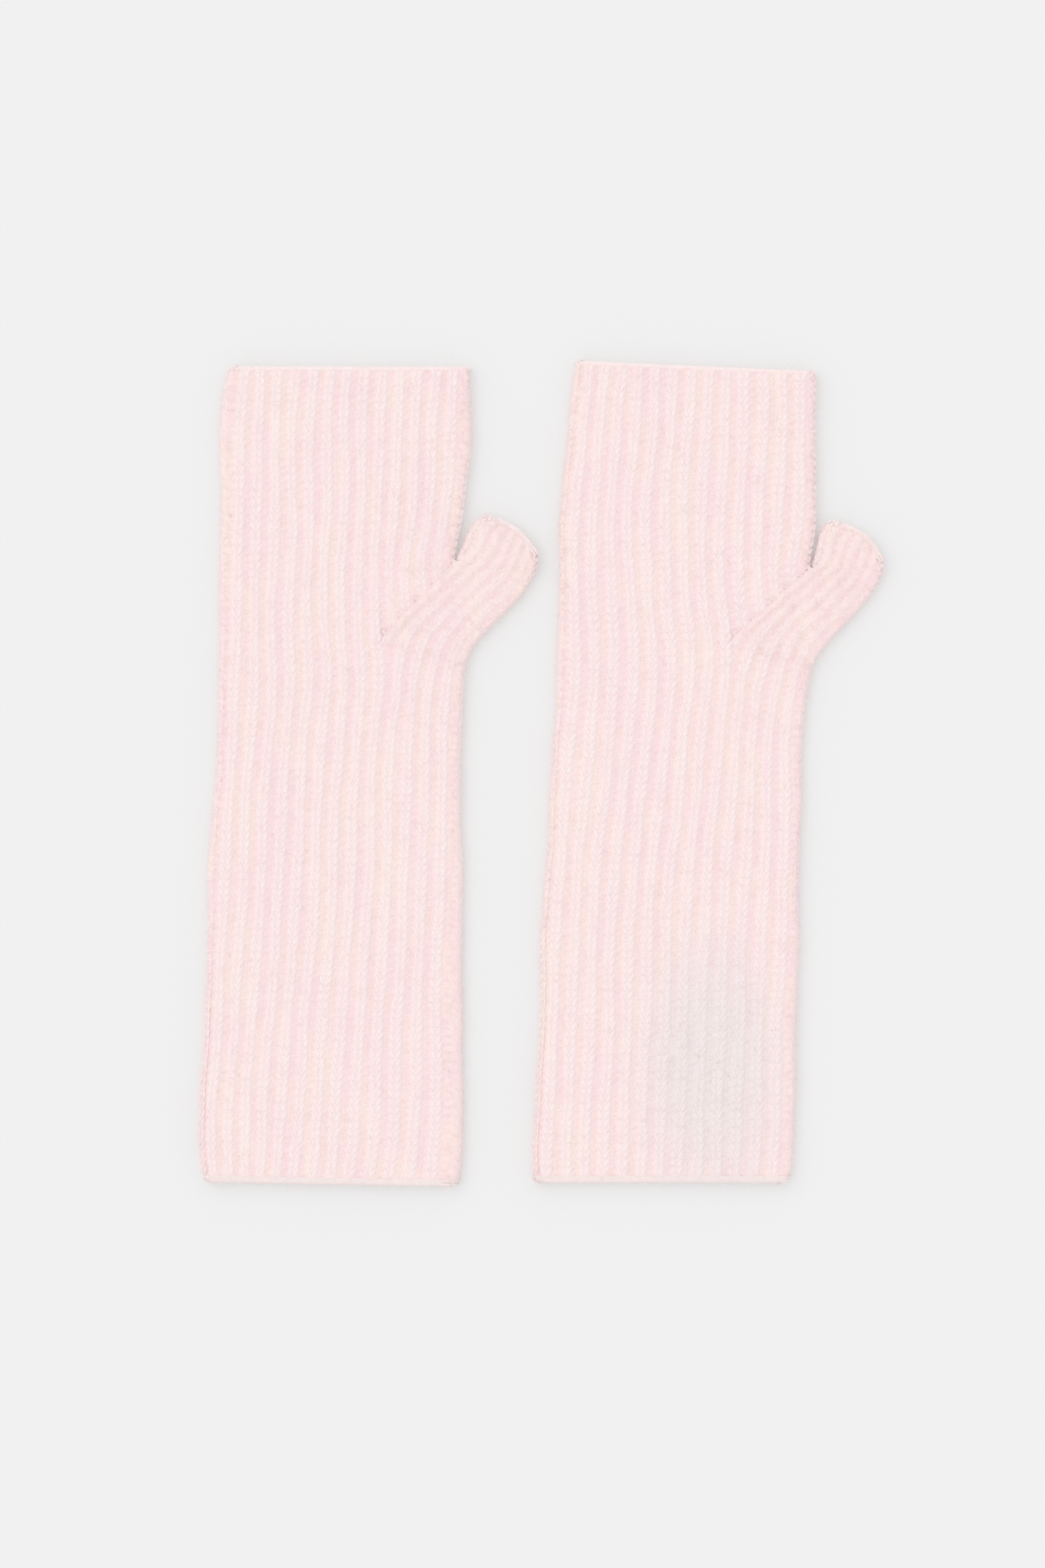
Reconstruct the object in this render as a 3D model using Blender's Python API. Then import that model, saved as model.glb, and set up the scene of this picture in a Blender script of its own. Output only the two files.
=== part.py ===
"""Pair of long rib-knit fingerless mitts, laid flat side by side with both thumbs to the right.

Each mitt is a flattened tube of 1x1 rib: an arm that narrows to the wrist, a hand, and a short thumb
that branches off the right-hand side. Edges are finished with a rolled cast-on round the arm and plain
bound-off bands round the hand and the thumb. +X is to the right, +Y towards the fingers, +Z up.
Sizes below are in millimetres; the meshes are in metres.
"""

import math
from collections import namedtuple

import bpy
import numpy as np

METRE = 1000.0

# The cloth, flattened: an under layer that rests on z = 0, a thin slit, and a ribbed upper layer.
UNDER_WALL = 2.3
SLIT = 0.5
UPPER_WALL = 1.8
RIB_HEIGHT = 1.3
THUMB_RIB_HEIGHT = 0.9
MIDDLE = UNDER_WALL + SLIT / 2
VALLEY = UNDER_WALL + SLIT + UPPER_WALL
SEAM_GAP = 0.3
HAND_SEAM_GAP = 0.36

# Rib counts, from the first valley inside the left fold to the last inside the right fold.
BODY_RIBS = 13
THUMB_RIBS = 5
SPLIT_RIB = 8.5
POINTS_PER_RIB = 4
RIB_ROUNDNESS = 0.35
FIRST_THUMB_RIB = 0.5

# A side fold's edge lies this many ribs past the nearest valley. On the thumb its width is in millimetres.
BODY_FOLD_RIBS = 0.6
THUMB_FOLD = 2.6
CROTCH_FOLD = 1.4

# How far inside a fold's edge the slit between the layers starts to close, and where it ends.
SLIT_START = 3.4
SLIT_END = 2.3
THUMB_SLIT_START = 2.8
THUMB_SLIT_END = 1.9

# Edge bands: their widths, and how far each of their four rows stands proud of the cloth.
CAST_ON_BAND = 2.7
HAND_BAND = 1.5
THUMB_BAND = 2.4
CAST_ON_FULLNESS = (0.2, 0.9, 1.0, 0.5)
HAND_FULLNESS = (0.5, 0.8, 0.7, 0.1)
THUMB_FULLNESS = (0.3, 0.6, 0.5, 0.0)
BAND_RIB_SHARE = 0.25
MOUTH_LIFT = 0.5
MOUTH_LIFT_REACH = 12.0

# A side fold, from the top valley round to the underside. reach is the share of the way out to the
# fold's edge; level is the height from the middle, as a share of the valley's or the underside's.
# slit_reach is the share of the way to the slit's end, and slit_level its height in half slits.
Fold = namedtuple("Fold", "reach level slit_reach slit_level")
FOLD = [
    Fold(reach=0.33, level=1.42, slit_reach=0.40, slit_level=1.3),
    Fold(reach=0.70, level=1.22, slit_reach=0.78, slit_level=1.5),
    Fold(reach=0.94, level=0.66, slit_reach=0.96, slit_level=0.8),
    Fold(reach=1.00, level=-0.05, slit_reach=1.00, slit_level=0.0),
    Fold(reach=0.90, level=-0.62, slit_reach=0.96, slit_level=-0.8),
    Fold(reach=0.60, level=-0.95, slit_reach=0.78, slit_level=-1.5),
    Fold(reach=0.22, level=-1.00, slit_reach=0.40, slit_level=-1.3),
]

# An outline has a row for each height along the mitt: its two side folds, and its first, middle and last
# valley between them.
# A rail is a thumb's side fold, from its root to its mouth.
# A swell is a soft rise or dip of the upper layer.
Outline = namedtuple("Outline", "along left first middle last right")
Rail = namedtuple("Rail", "across along")
Swell = namedtuple("Swell", "across along wide long rise")
Mitt = namedtuple(
    "Mitt",
    "outline arm_tilt hand_tilt split_along crotch thumb_root inner_rail outer_rail mouth_bow swells",
)

LEFT_MITT = Mitt(
    outline=[
        Outline(along=-151.4, left=-123.9, first=-122.1, middle=-81.0, last=-36.3, right=-29.7),
        Outline(along=-136.2, left=-125.4, first=-123.3, middle=-79.2, last=-34.8, right=-28.2),
        Outline(along=-121.2, left=-125.2, first=-123.3, middle=-78.3, last=-34.5, right=-27.6),
        Outline(along=-91.2, left=-123.6, first=-121.5, middle=-76.5, last=-34.8, right=-28.2),
        Outline(along=-61.2, left=-123.0, first=-120.0, middle=-74.1, last=-34.2, right=-28.3),
        Outline(along=-34.2, left=-122.4, first=-118.8, middle=-72.6, last=-33.3, right=-28.2),
        Outline(along=-10.2, left=-120.8, first=-117.6, middle=-72.0, last=-32.7, right=-28.5),
        Outline(along=13.8, left=-119.2, first=-116.1, middle=-70.5, last=-32.4, right=-28.8),
        Outline(along=37.8, left=-118.5, first=-115.2, middle=-68.7, last=-31.2, right=-27.8),
        Outline(along=47.7, left=-118.5, first=-114.9, middle=-69.6, last=-31.8, right=-27.9),
        Outline(along=61.8, left=-118.5, first=-114.9, middle=-70.2, last=-33.9, right=-29.4),
        Outline(along=78.3, left=-118.5, first=-114.3, middle=-69.9, last=-35.7, right=-31.0),
        Outline(along=91.8, left=-118.2, first=-113.7, middle=-69.0, last=-33.0, right=-28.2),
        Outline(along=103.8, left=-118.2, first=-113.4, middle=-68.7, last=-31.2, right=-27.1),
        Outline(along=121.8, left=-118.2, first=-113.4, middle=-68.7, last=-29.7, right=-25.2),
        Outline(along=133.8, left=-117.6, first=-112.5, middle=-68.4, last=-29.1, right=-24.9),
        Outline(along=149.1, left=-115.2, first=-111.6, middle=-67.2, last=-28.5, right=-25.5),
    ],
    arm_tilt=-1.5,
    hand_tilt=-0.3,
    split_along=47.6,
    crotch=Rail(across=-30.9, along=78.2),
    thumb_root=Rail(across=-27.8, along=39.2),
    inner_rail=[
        Rail(across=-28.6, along=83.8),
        Rail(across=-26.8, along=88.8),
        Rail(across=-24.0, along=92.8),
        Rail(across=-20.4, along=95.6),
    ],
    outer_rail=[
        Rail(across=-25.4, along=43.8),
        Rail(across=-20.8, along=49.7),
        Rail(across=-14.4, along=56.4),
        Rail(across=-6.2, along=65.0),
        Rail(across=-1.4, along=72.8),
        Rail(across=0.0, along=80.0),
    ],
    mouth_bow=3.6,
    swells=[
        Swell(across=-52.0, along=50.0, wide=13.0, long=13.0, rise=0.8),
        Swell(across=-96.0, along=-62.0, wide=15.0, long=26.0, rise=0.4),
        Swell(across=-56.0, along=-112.0, wide=16.0, long=24.0, rise=0.5),
        Swell(across=-84.0, along=112.0, wide=20.0, long=18.0, rise=0.4),
        Swell(across=-106.0, along=-92.0, wide=12.0, long=7.0, rise=-0.4),
    ],
)

RIGHT_MITT = Mitt(
    outline=[
        Outline(along=-150.9, left=-2.7, first=-0.6, middle=46.8, last=88.5, right=92.7),
        Outline(along=-136.2, left=-3.0, first=-0.9, middle=47.7, last=89.4, right=93.9),
        Outline(along=-121.2, left=-2.1, first=0.0, middle=48.0, last=90.0, right=94.2),
        Outline(along=-91.2, left=-0.6, first=1.5, middle=49.2, last=90.6, right=94.5),
        Outline(along=-61.2, left=0.0, first=2.4, middle=49.8, last=92.1, right=95.4),
        Outline(along=-34.2, left=1.5, first=4.2, middle=51.3, last=93.3, right=95.7),
        Outline(along=-10.2, left=2.7, first=5.7, middle=54.0, last=93.6, right=96.1),
        Outline(along=13.8, left=4.8, first=7.5, middle=56.1, last=93.6, right=96.8),
        Outline(along=37.8, left=5.4, first=9.0, middle=58.5, last=96.6, right=99.6),
        Outline(along=47.7, left=5.7, first=9.0, middle=58.5, last=96.9, right=99.9),
        Outline(along=61.8, left=6.3, first=9.3, middle=56.7, last=96.3, right=99.9),
        Outline(along=75.6, left=6.3, first=9.0, middle=56.1, last=95.1, right=99.5),
        Outline(along=88.8, left=6.3, first=9.0, middle=55.8, last=97.2, right=101.1),
        Outline(along=103.8, left=7.8, first=10.5, middle=56.1, last=98.7, right=101.5),
        Outline(along=121.8, left=9.3, first=12.3, middle=57.6, last=99.1, right=101.7),
        Outline(along=133.8, left=9.9, first=13.2, middle=58.2, last=99.3, right=101.7),
        Outline(along=149.4, left=12.0, first=15.0, middle=58.8, last=99.0, right=101.4),
    ],
    arm_tilt=0.0,
    hand_tilt=-4.5,
    split_along=47.6,
    crotch=Rail(across=99.6, along=75.6),
    thumb_root=Rail(across=99.4, along=38.0),
    inner_rail=[
        Rail(across=100.6, along=81.4),
        Rail(across=101.8, along=87.4),
        Rail(across=104.2, along=91.4),
        Rail(across=107.4, along=93.4),
    ],
    outer_rail=[
        Rail(across=102.4, along=42.6),
        Rail(across=107.8, along=49.6),
        Rail(across=115.2, along=56.8),
        Rail(across=121.6, along=64.6),
        Rail(across=125.0, along=71.2),
        Rail(across=126.0, along=77.6),
    ],
    mouth_bow=4.6,
    swells=[
        Swell(across=76.0, along=50.0, wide=13.0, long=13.0, rise=0.8),
        Swell(across=54.0, along=-76.0, wide=16.0, long=24.0, rise=-0.4),
        Swell(across=24.0, along=-24.0, wide=14.0, long=28.0, rise=0.4),
        Swell(across=62.0, along=114.0, wide=20.0, long=18.0, rise=0.5),
        Swell(across=80.0, along=-118.0, wide=14.0, long=16.0, rise=0.4),
    ],
)

# Places of the mesh rows, as shares of each stretch.
ARM_ROWS = [0.07, 0.20, 0.36, 0.54, 0.72, 0.88, 1.0]
HAND_ROWS = [0.0, 0.14, 0.32, 0.5, 0.7, 0.88]
THUMB_ROOT_ROWS = [0.0, 0.30, 0.62, 0.93]
THUMB_TUBE_ROWS = [0.0, 0.25, 0.52, 0.8]
BAND_ROWS = [0.0, 0.3, 0.7, 1.0]
UNDER_STEP_RIBS = 1.5

WOOL = (0.905, 0.765, 0.752)
EDGE_WOOL = (0.890, 0.745, 0.732)
WOOL_ROUGHNESS = 0.95
WOOL_SHEEN = 0.3


def mix(a, b, t):
    return a + (b - a) * t


def ease(t):
    t = min(max(t, 0.0), 1.0)
    return t * t * (3 - 2 * t)


def smooth_between(places, values, at):
    """The value at a place on the smooth curve through a table's points."""
    places = np.asarray(places, float)
    values = np.asarray(values, float)
    slopes = np.gradient(values, places)
    at = float(np.clip(at, places[0], places[-1]))
    k = int(np.clip(np.searchsorted(places, at) - 1, 0, len(places) - 2))
    span = places[k + 1] - places[k]
    t = (at - places[k]) / span
    start = (1 + 2 * t) * (1 - t) ** 2 * values[k] + t * (1 - t) ** 2 * span * slopes[k]
    end = t * t * (3 - 2 * t) * values[k + 1] + t * t * (t - 1) * span * slopes[k + 1]
    return start + end


def outline_at(mitt, column, along):
    places = [row.along for row in mitt.outline]
    return smooth_between(places, [getattr(row, column) for row in mitt.outline], along)


def along_rail(points, share):
    """The point at a share of the way along a rail."""
    points = np.asarray(points, float)
    steps = np.hypot(*np.diff(points, axis=0).T)
    places = np.concatenate([[0.0], np.cumsum(steps)]) / steps.sum()
    return np.array([smooth_between(places, points[:, axis], share) for axis in (0, 1)])


def length_of(points):
    return sum(math.dist(a, b) for a, b in zip(points, points[1:]))


def on_body(mitt, rib, along):
    """Where a rib crosses a height of the arm or the hand."""
    first, middle, last = (outline_at(mitt, column, along) for column in ("first", "middle", "last"))
    way = rib / BODY_RIBS
    middle_way = (BODY_RIBS + 1) / 2 / BODY_RIBS
    bend = (middle - mix(first, last, middle_way)) / (middle_way * (1 - middle_way))
    return np.array([mix(first, last, way) + bend * way * (1 - way), along])


def split_point(mitt):
    """The apex, where the thumb's ribs part from the hand's."""
    return on_body(mitt, SPLIT_RIB, mitt.split_along)


def past_split(rib):
    """Share of the way from the split to the right fold's edge."""
    return (rib - SPLIT_RIB) / (BODY_RIBS + BODY_FOLD_RIBS - SPLIT_RIB)


def diagonal(mitt, share, aside):
    """A point on the line from the apex to the crotch, moved aside towards the hand."""
    apex = split_point(mitt)
    run = np.array(mitt.crotch) - apex
    normal = np.array([-run[1], run[0]]) / math.hypot(*run)
    return apex + run * share + normal * aside


def arm_point(mitt, rib, share):
    """A point of the arm, from the cast-on (share 0) up to the line where the thumb begins (share 1)."""
    low = mitt.outline[0].along + mitt.arm_tilt * (rib / BODY_RIBS - 0.5)
    across, high = on_body(mitt, rib, mitt.split_along)
    if rib > SPLIT_RIB:
        across, high = mix(split_point(mitt), np.array(mitt.thumb_root), past_split(rib))
    high -= SEAM_GAP / 2
    shift = across - on_body(mitt, rib, high)[0]
    return on_body(mitt, rib, mix(low, high, share)) + [shift * share**3, 0.0]


def hand_point(mitt, rib, share):
    """A point of the hand, from the thumb's diagonal (share 0) up to the bound-off edge (share 1)."""
    high = mitt.outline[-1].along + mitt.hand_tilt * (rib / BODY_RIBS - 0.5)
    rows_part_by = 0.35
    start = on_body(mitt, rib, mitt.split_along)
    start[1] += SEAM_GAP / 2 + rows_part_by * max(SPLIT_RIB - rib, 0.0)
    if rib >= SPLIT_RIB:
        start = diagonal(mitt, past_split(rib), SEAM_GAP / 2)
    shift = start[0] - on_body(mitt, rib, start[1])[0]
    return on_body(mitt, rib, mix(start[1], high, share)) + [shift * (1 - share) ** 2, 0.0]


def body_row(mitt, point, share):
    """One row across the body: a function that gives its rib points, and the edges of its two folds."""
    left_edge = point(mitt, -BODY_FOLD_RIBS, share)
    left_edge[0] = outline_at(mitt, "left", left_edge[1])
    right_edge = point(mitt, BODY_RIBS + BODY_FOLD_RIBS, share)
    right_edge[0] = outline_at(mitt, "right", right_edge[1])
    return (lambda rib: point(mitt, rib, share)), left_edge, right_edge


def thumb_rails(mitt):
    """The thumb's right side from the root to the mouth, and its left side from the crotch to the mouth."""
    root = np.array(mitt.thumb_root) + [0.0, SEAM_GAP / 2]
    left = [diagonal(mitt, 1.0, -SEAM_GAP / 2)] + list(mitt.inner_rail)
    return [root] + list(mitt.outer_rail), left


def thumb_row(mitt, stretch, share):
    """One row across the thumb. A root row starts on the diagonal; a tube row has a left fold of its own."""
    right_rail, left_rail = thumb_rails(mitt)
    root_length = math.dist(split_point(mitt), mitt.crotch)
    root_share = root_length / (root_length + length_of(left_rail))
    corner = SEAM_GAP / root_length
    if stretch == "root":
        way = root_share * share
        left_edge = diagonal(mitt, mix(corner, 1.0, share), -SEAM_GAP / 2)
        left_fold = 0.0
    else:
        way = mix(root_share, 1.0, share)
        left_edge = along_rail(left_rail, share)
        left_fold = mix(CROTCH_FOLD, THUMB_FOLD, ease(share / THUMB_TUBE_ROWS[1]))
    right_edge = along_rail(right_rail, way)
    root_along = mitt.thumb_root.along
    root_fold = outline_at(mitt, "right", root_along) - outline_at(mitt, "last", root_along)
    right_fold = mix(root_fold, THUMB_FOLD, ease(way / root_share))
    length = math.dist(left_edge, right_edge)
    run = (right_edge - left_edge) / length
    bow = np.array([-run[1], run[0]]) * mitt.mouth_bow * ease(way)

    def point(rib):
        at_root = (rib * FIRST_THUMB_RIB if rib < 1 else rib - FIRST_THUMB_RIB) / (BODY_RIBS - SPLIT_RIB)
        spread = mix(at_root, rib / THUMB_RIBS, ease(way / root_share))
        place = mix(left_fold, length - right_fold, spread)
        return left_edge + run * place + bow * math.sin(math.pi * place / length)

    return point, left_edge, right_edge


def upper_rise(mitt, place):
    """How far the upper layer rises or dips at a place, from the soft swells and the open mouths."""
    across, along = place
    rise = 0.0
    for swell in mitt.swells:
        off = ((across - swell.across) / swell.wide) ** 2 + ((along - swell.along) / swell.long) ** 2
        rise += swell.rise * math.exp(-off / 2)
    for mouth in (mitt.outline[0].along, mitt.outline[-1].along):
        rise += MOUTH_LIFT * math.exp(-abs(along - mouth) / MOUTH_LIFT_REACH)
    return rise


def rib_profile(rib):
    """0 in a valley and 1 on a crest."""
    return (0.5 - 0.5 * math.cos(2 * math.pi * rib)) ** RIB_ROUNDNESS


def stations(ribs, split, points_per_rib):
    """The places round a tube: over the top, round the right fold, back beneath, and up the left fold."""
    top = [k / points_per_rib for k in range(int(ribs * points_per_rib) + 1)]
    under = {0.0, float(ribs)}
    for k in range(ribs):
        under |= {split + UNDER_STEP_RIBS * k, split - UNDER_STEP_RIBS * k}
    under = sorted(rib for rib in under if 0 <= rib <= ribs)
    ring = [("top", rib) for rib in top]
    ring += [("right", fold) for fold in FOLD]
    ring += [("under", rib) for rib in reversed(under)]
    ring += [("left", fold) for fold in reversed(FOLD)]
    return ring


def slit_ribs(row, ribs, slit_start, has_left_fold):
    """The rib places where the slit starts to close at the left and at the right."""
    point, left_edge, right_edge = row
    left = (slit_start - math.dist(point(0), left_edge)) / math.dist(point(0), point(1))
    right = (slit_start - math.dist(point(ribs), right_edge)) / math.dist(point(ribs), point(ribs - 1))
    return (left if has_left_fold else 0.0), ribs - right


def within_slit(rib, ribs, slit_left, slit_right):
    """A rib place moved so that the outermost two ribs stop where the slit starts to close."""
    blend = 2.0
    if rib < blend:
        return mix(slit_left, blend, rib / blend)
    if rib > ribs - blend:
        return mix(slit_right, ribs - blend, (ribs - rib) / blend)
    return rib


def ring_points(mitt, row, ribs, ring, rib_height, slit, swelling=0.0, has_left_fold=True):
    """The outer and the inner points of one row round a tube."""
    point, left_edge, right_edge = row
    slit_start, slit_end = slit
    slit_left, slit_right = slit_ribs(row, ribs, slit_start, has_left_fold)
    outer, inner = [], []
    for part, value in ring:
        if part in ("top", "under"):
            place = point(value)
            slit_place = point(within_slit(value, ribs, slit_left, slit_right))
        else:
            valley, slit_rib, edge = (0, slit_left, left_edge)
            if part == "right":
                valley, slit_rib, edge = (ribs, slit_right, right_edge)
            place = mix(point(valley), edge, value.reach)
            slit_place = mix(point(slit_rib), edge, value.slit_reach * (1 - slit_end / slit_start))
        rise = upper_rise(mitt, place)
        if part == "top":
            height = VALLEY + rib_height * rib_profile(value) + rise + swelling
            slit_height = UNDER_WALL + SLIT + rise
        elif part == "under":
            height = 0.0
            slit_height = UNDER_WALL
        else:
            half = VALLEY - MIDDLE + rise + swelling if value.level > 0 else MIDDLE
            crest = max(value.level - 1.0, 0.0) * rib_height / RIB_HEIGHT
            height = MIDDLE + half * (min(value.level, 1.0) + crest)
            slit_height = MIDDLE + value.slit_level * SLIT / 2 + (rise if value.slit_level > 0 else 0.0)
        outer.append((*place, height))
        inner.append((*slit_place, slit_height))
    return outer, inner


def wall_object(name, rows, is_cloth, material):
    """A closed wall between rows of outer and inner points, with rims round every opening."""
    high, wide = len(rows), len(rows[0][0])
    points = np.array([row[0] for row in rows] + [row[1] for row in rows], float).reshape(-1, 3)

    def index(skin, row, column):
        return (skin * high + row) * wide + column % wide

    cells = {(r, c) for r in range(high - 1) for c in range(wide) if is_cloth(r, c)}
    faces = []
    for r, c in sorted(cells):
        corners = [(r, c), (r, c + 1), (r + 1, c + 1), (r + 1, c)]
        faces.append([index(0, *corner) for corner in corners])
        faces.append([index(1, *corner) for corner in reversed(corners)])
        beside = [(r - 1, c), (r, (c + 1) % wide), (r + 1, c), (r, (c - 1) % wide)]
        for k, neighbour in enumerate(beside):
            if neighbour not in cells:
                a, b = corners[k], corners[(k + 1) % 4]
                faces.append([index(0, *b), index(0, *a), index(1, *a), index(1, *b)])
    used = sorted({corner for face in faces for corner in face})
    place = {corner: k for k, corner in enumerate(used)}
    mesh = bpy.data.meshes.new(name)
    mesh.from_pydata((points[used] / METRE).tolist(), [], [[place[c] for c in face] for face in faces])
    mesh.update()
    mesh.shade_smooth()
    mesh.set_sharp_from_angle(angle=math.radians(60))
    mesh.materials.append(material)
    made = bpy.data.objects.new(name, mesh)
    bpy.context.scene.collection.objects.link(made)
    return made


def wool(name, colour):
    material = bpy.data.materials.new(name)
    material.use_nodes = True
    shader = material.node_tree.nodes["Principled BSDF"]
    shader.inputs["Base Color"].default_value = (*colour, 1.0)
    shader.inputs["Roughness"].default_value = WOOL_ROUGHNESS
    shader.inputs["Metallic"].default_value = 0.0
    shader.inputs["Sheen Weight"].default_value = WOOL_SHEEN
    material.diffuse_color = (*colour, 1.0)
    return material


def arm_length(mitt):
    return mitt.split_along - mitt.outline[0].along


def hand_length(mitt):
    return mitt.outline[-1].along - mitt.split_along


def tube_length(mitt):
    return length_of(thumb_rails(mitt)[1])


def body(side, mitt):
    """Arm and hand as one tube, with an opening on its right where the thumb branches off."""
    ring = stations(BODY_RIBS, SPLIT_RIB, POINTS_PER_RIB)
    first = (CAST_ON_BAND + SEAM_GAP) / arm_length(mitt)
    last = 1 - (HAND_BAND + HAND_SEAM_GAP) / hand_length(mitt)
    rows = [body_row(mitt, arm_point, share) for share in [first] + ARM_ROWS]
    rows += [body_row(mitt, hand_point, share) for share in HAND_ROWS + [last]]
    slit = (SLIT_START, SLIT_END)
    rows = [ring_points(mitt, row, BODY_RIBS, ring, RIB_HEIGHT, slit) for row in rows]
    split_row = len(ARM_ROWS)
    split_columns = range(ring.index(("top", SPLIT_RIB)), ring.index(("under", SPLIT_RIB)))

    def is_cloth(row, column):
        return row != split_row or column not in split_columns

    return wall_object(f"{side}_body", rows, is_cloth, wool(f"{side}_body_wool", WOOL))


def thumb(side, mitt):
    """The thumb: its root is open to the body, and past the crotch it is a tube of its own."""
    ring = stations(THUMB_RIBS, THUMB_RIBS / 2, POINTS_PER_RIB)
    last = 1 - (THUMB_BAND + 2 * SEAM_GAP) / tube_length(mitt)
    stretches = [("root", share) for share in THUMB_ROOT_ROWS]
    stretches += [("tube", share * last) for share in THUMB_TUBE_ROWS + [1.0]]
    rib_heights = np.linspace(RIB_HEIGHT, THUMB_RIB_HEIGHT, len(stretches))
    slit = (THUMB_SLIT_START, THUMB_SLIT_END)
    rows = []
    for (stretch, share), rib_height in zip(stretches, rib_heights):
        row = thumb_row(mitt, stretch, share)
        rows.append(
            ring_points(mitt, row, THUMB_RIBS, ring, rib_height, slit, has_left_fold=stretch == "tube")
        )
    root_rows = len(THUMB_ROOT_ROWS)
    left_fold_column = ring.index(("under", 0.0))

    def is_cloth(row, column):
        return row >= root_rows or column < left_fold_column

    return wall_object(f"{side}_thumb", rows, is_cloth, wool(f"{side}_thumb_wool", WOOL))


def band(name, mitt, ribs, rows, slit, fullness):
    """A plain edge band round an opening; fullness says how far each of its rows stands proud."""
    ring = stations(ribs, ribs / 2, 1)
    band_rib = RIB_HEIGHT * BAND_RIB_SHARE
    rows = [
        ring_points(mitt, row, ribs, ring, band_rib, slit, swelling)
        for row, swelling in zip(rows, fullness)
    ]
    return wall_object(name, rows, lambda row, column: True, wool(f"{name}_wool", EDGE_WOOL))


def bands(side, mitt):
    cast_on = [body_row(mitt, arm_point, CAST_ON_BAND / arm_length(mitt) * s) for s in BAND_ROWS]
    hand = [body_row(mitt, hand_point, 1 - HAND_BAND / hand_length(mitt) * (1 - s)) for s in BAND_ROWS]
    mouth = [thumb_row(mitt, "tube", 1 - THUMB_BAND / tube_length(mitt) * (1 - s)) for s in BAND_ROWS]
    body_slit = (SLIT_START, SLIT_END)
    thumb_slit = (THUMB_SLIT_START, THUMB_SLIT_END)
    band(f"{side}_cast_on_edge", mitt, BODY_RIBS, cast_on, body_slit, CAST_ON_FULLNESS)
    band(f"{side}_hand_bind_off", mitt, BODY_RIBS, hand, body_slit, HAND_FULLNESS)
    band(f"{side}_thumb_bind_off", mitt, THUMB_RIBS, mouth, thumb_slit, THUMB_FULLNESS)


def clear_scene():
    for old in list(bpy.data.objects):
        bpy.data.objects.remove(old, do_unlink=True)


def centre_on_origin(pieces):
    """Moves the meshes so that the pair's box is centred over the origin and rests on z = 0."""
    corners = np.array([vertex.co for piece in pieces for vertex in piece.data.vertices])
    low, high = corners.min(axis=0), corners.max(axis=0)
    middle = ((low[0] + high[0]) / 2, (low[1] + high[1]) / 2, low[2])
    for piece in pieces:
        for vertex in piece.data.vertices:
            vertex.co = [vertex.co[axis] - middle[axis] for axis in range(3)]


def main():
    clear_scene()
    for side, mitt in (("left", LEFT_MITT), ("right", RIGHT_MITT)):
        body(side, mitt)
        thumb(side, mitt)
        bands(side, mitt)
    pieces = [piece for piece in bpy.data.objects if piece.type == "MESH"]
    centre_on_origin(pieces)
    pair = bpy.data.objects.new("mitts", None)
    bpy.context.scene.collection.objects.link(pair)
    for piece in pieces:
        piece.parent = pair


main()
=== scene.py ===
# A pair of long rib-knit fingerless mitts in soft pale pink wool, laid flat side by side, both thumbs to the
# right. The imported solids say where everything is; this script dresses them as knitted cloth. Sizes are in
# millimetres.
import math

import bpy
import numpy as np
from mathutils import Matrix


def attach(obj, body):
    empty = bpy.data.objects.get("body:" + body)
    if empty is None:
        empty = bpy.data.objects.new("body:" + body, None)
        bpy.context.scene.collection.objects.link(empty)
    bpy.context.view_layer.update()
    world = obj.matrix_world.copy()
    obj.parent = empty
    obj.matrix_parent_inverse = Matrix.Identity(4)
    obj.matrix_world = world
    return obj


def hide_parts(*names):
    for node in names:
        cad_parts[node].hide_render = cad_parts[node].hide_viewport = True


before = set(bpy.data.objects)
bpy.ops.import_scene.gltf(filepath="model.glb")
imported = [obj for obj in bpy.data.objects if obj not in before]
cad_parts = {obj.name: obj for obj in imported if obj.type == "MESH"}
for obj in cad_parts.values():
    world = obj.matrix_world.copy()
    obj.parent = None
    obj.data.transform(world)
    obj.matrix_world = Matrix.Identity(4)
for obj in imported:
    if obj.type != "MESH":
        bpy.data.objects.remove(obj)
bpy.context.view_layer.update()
mm = 0.001
print("solids loaded")


def mix(a, b, t):
    return a + (b - a) * t


def ease(t):
    t = np.clip(t, 0.0, 1.0)
    return t * t * (3 - 2 * t)


def columns(names, rows):  # a table as a dictionary of its named columns
    return dict(zip(names.split(), np.array(rows, float).T))


def through(places, values, at):  # smooth curve through a table's points
    slopes = np.gradient(values, places)
    at = np.clip(at, places[0], places[-1])
    k = np.clip(np.searchsorted(places, at) - 1, 0, len(places) - 2)
    span = places[k + 1] - places[k]
    t = (at - places[k]) / span
    near = (1 + 2 * t) * (1 - t) ** 2 * values[k] + t * (1 - t) ** 2 * span * slopes[k]
    far = t * t * (3 - 2 * t) * values[k + 1] + t * t * (t - 1) * span * slopes[k + 1]
    return near + far


def alongRail(rail, share):  # a point part of the way along a line of points
    steps = np.hypot(*np.diff(rail, axis=0).T)
    places = np.concatenate([[0.0], np.cumsum(steps)]) / steps.sum()
    return np.array([through(places, rail[:, 0], share), through(places, rail[:, 1], share)])


def railLength(rail):
    return np.hypot(*np.diff(rail, axis=0).T).sum()


def unit(vectors):
    return vectors / np.maximum(np.linalg.norm(vectors, axis=-1, keepdims=True), 1e-9)


def linear(hexColour):  # an sRGB hex colour as linear red, green, blue, alpha
    parts = [int(hexColour[k:k + 2], 16) / 255 for k in (1, 3, 5)]
    return [p / 12.92 if p <= 0.04045 else ((p + 0.055) / 1.055) ** 2.4 for p in parts] + [1.0]


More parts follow.
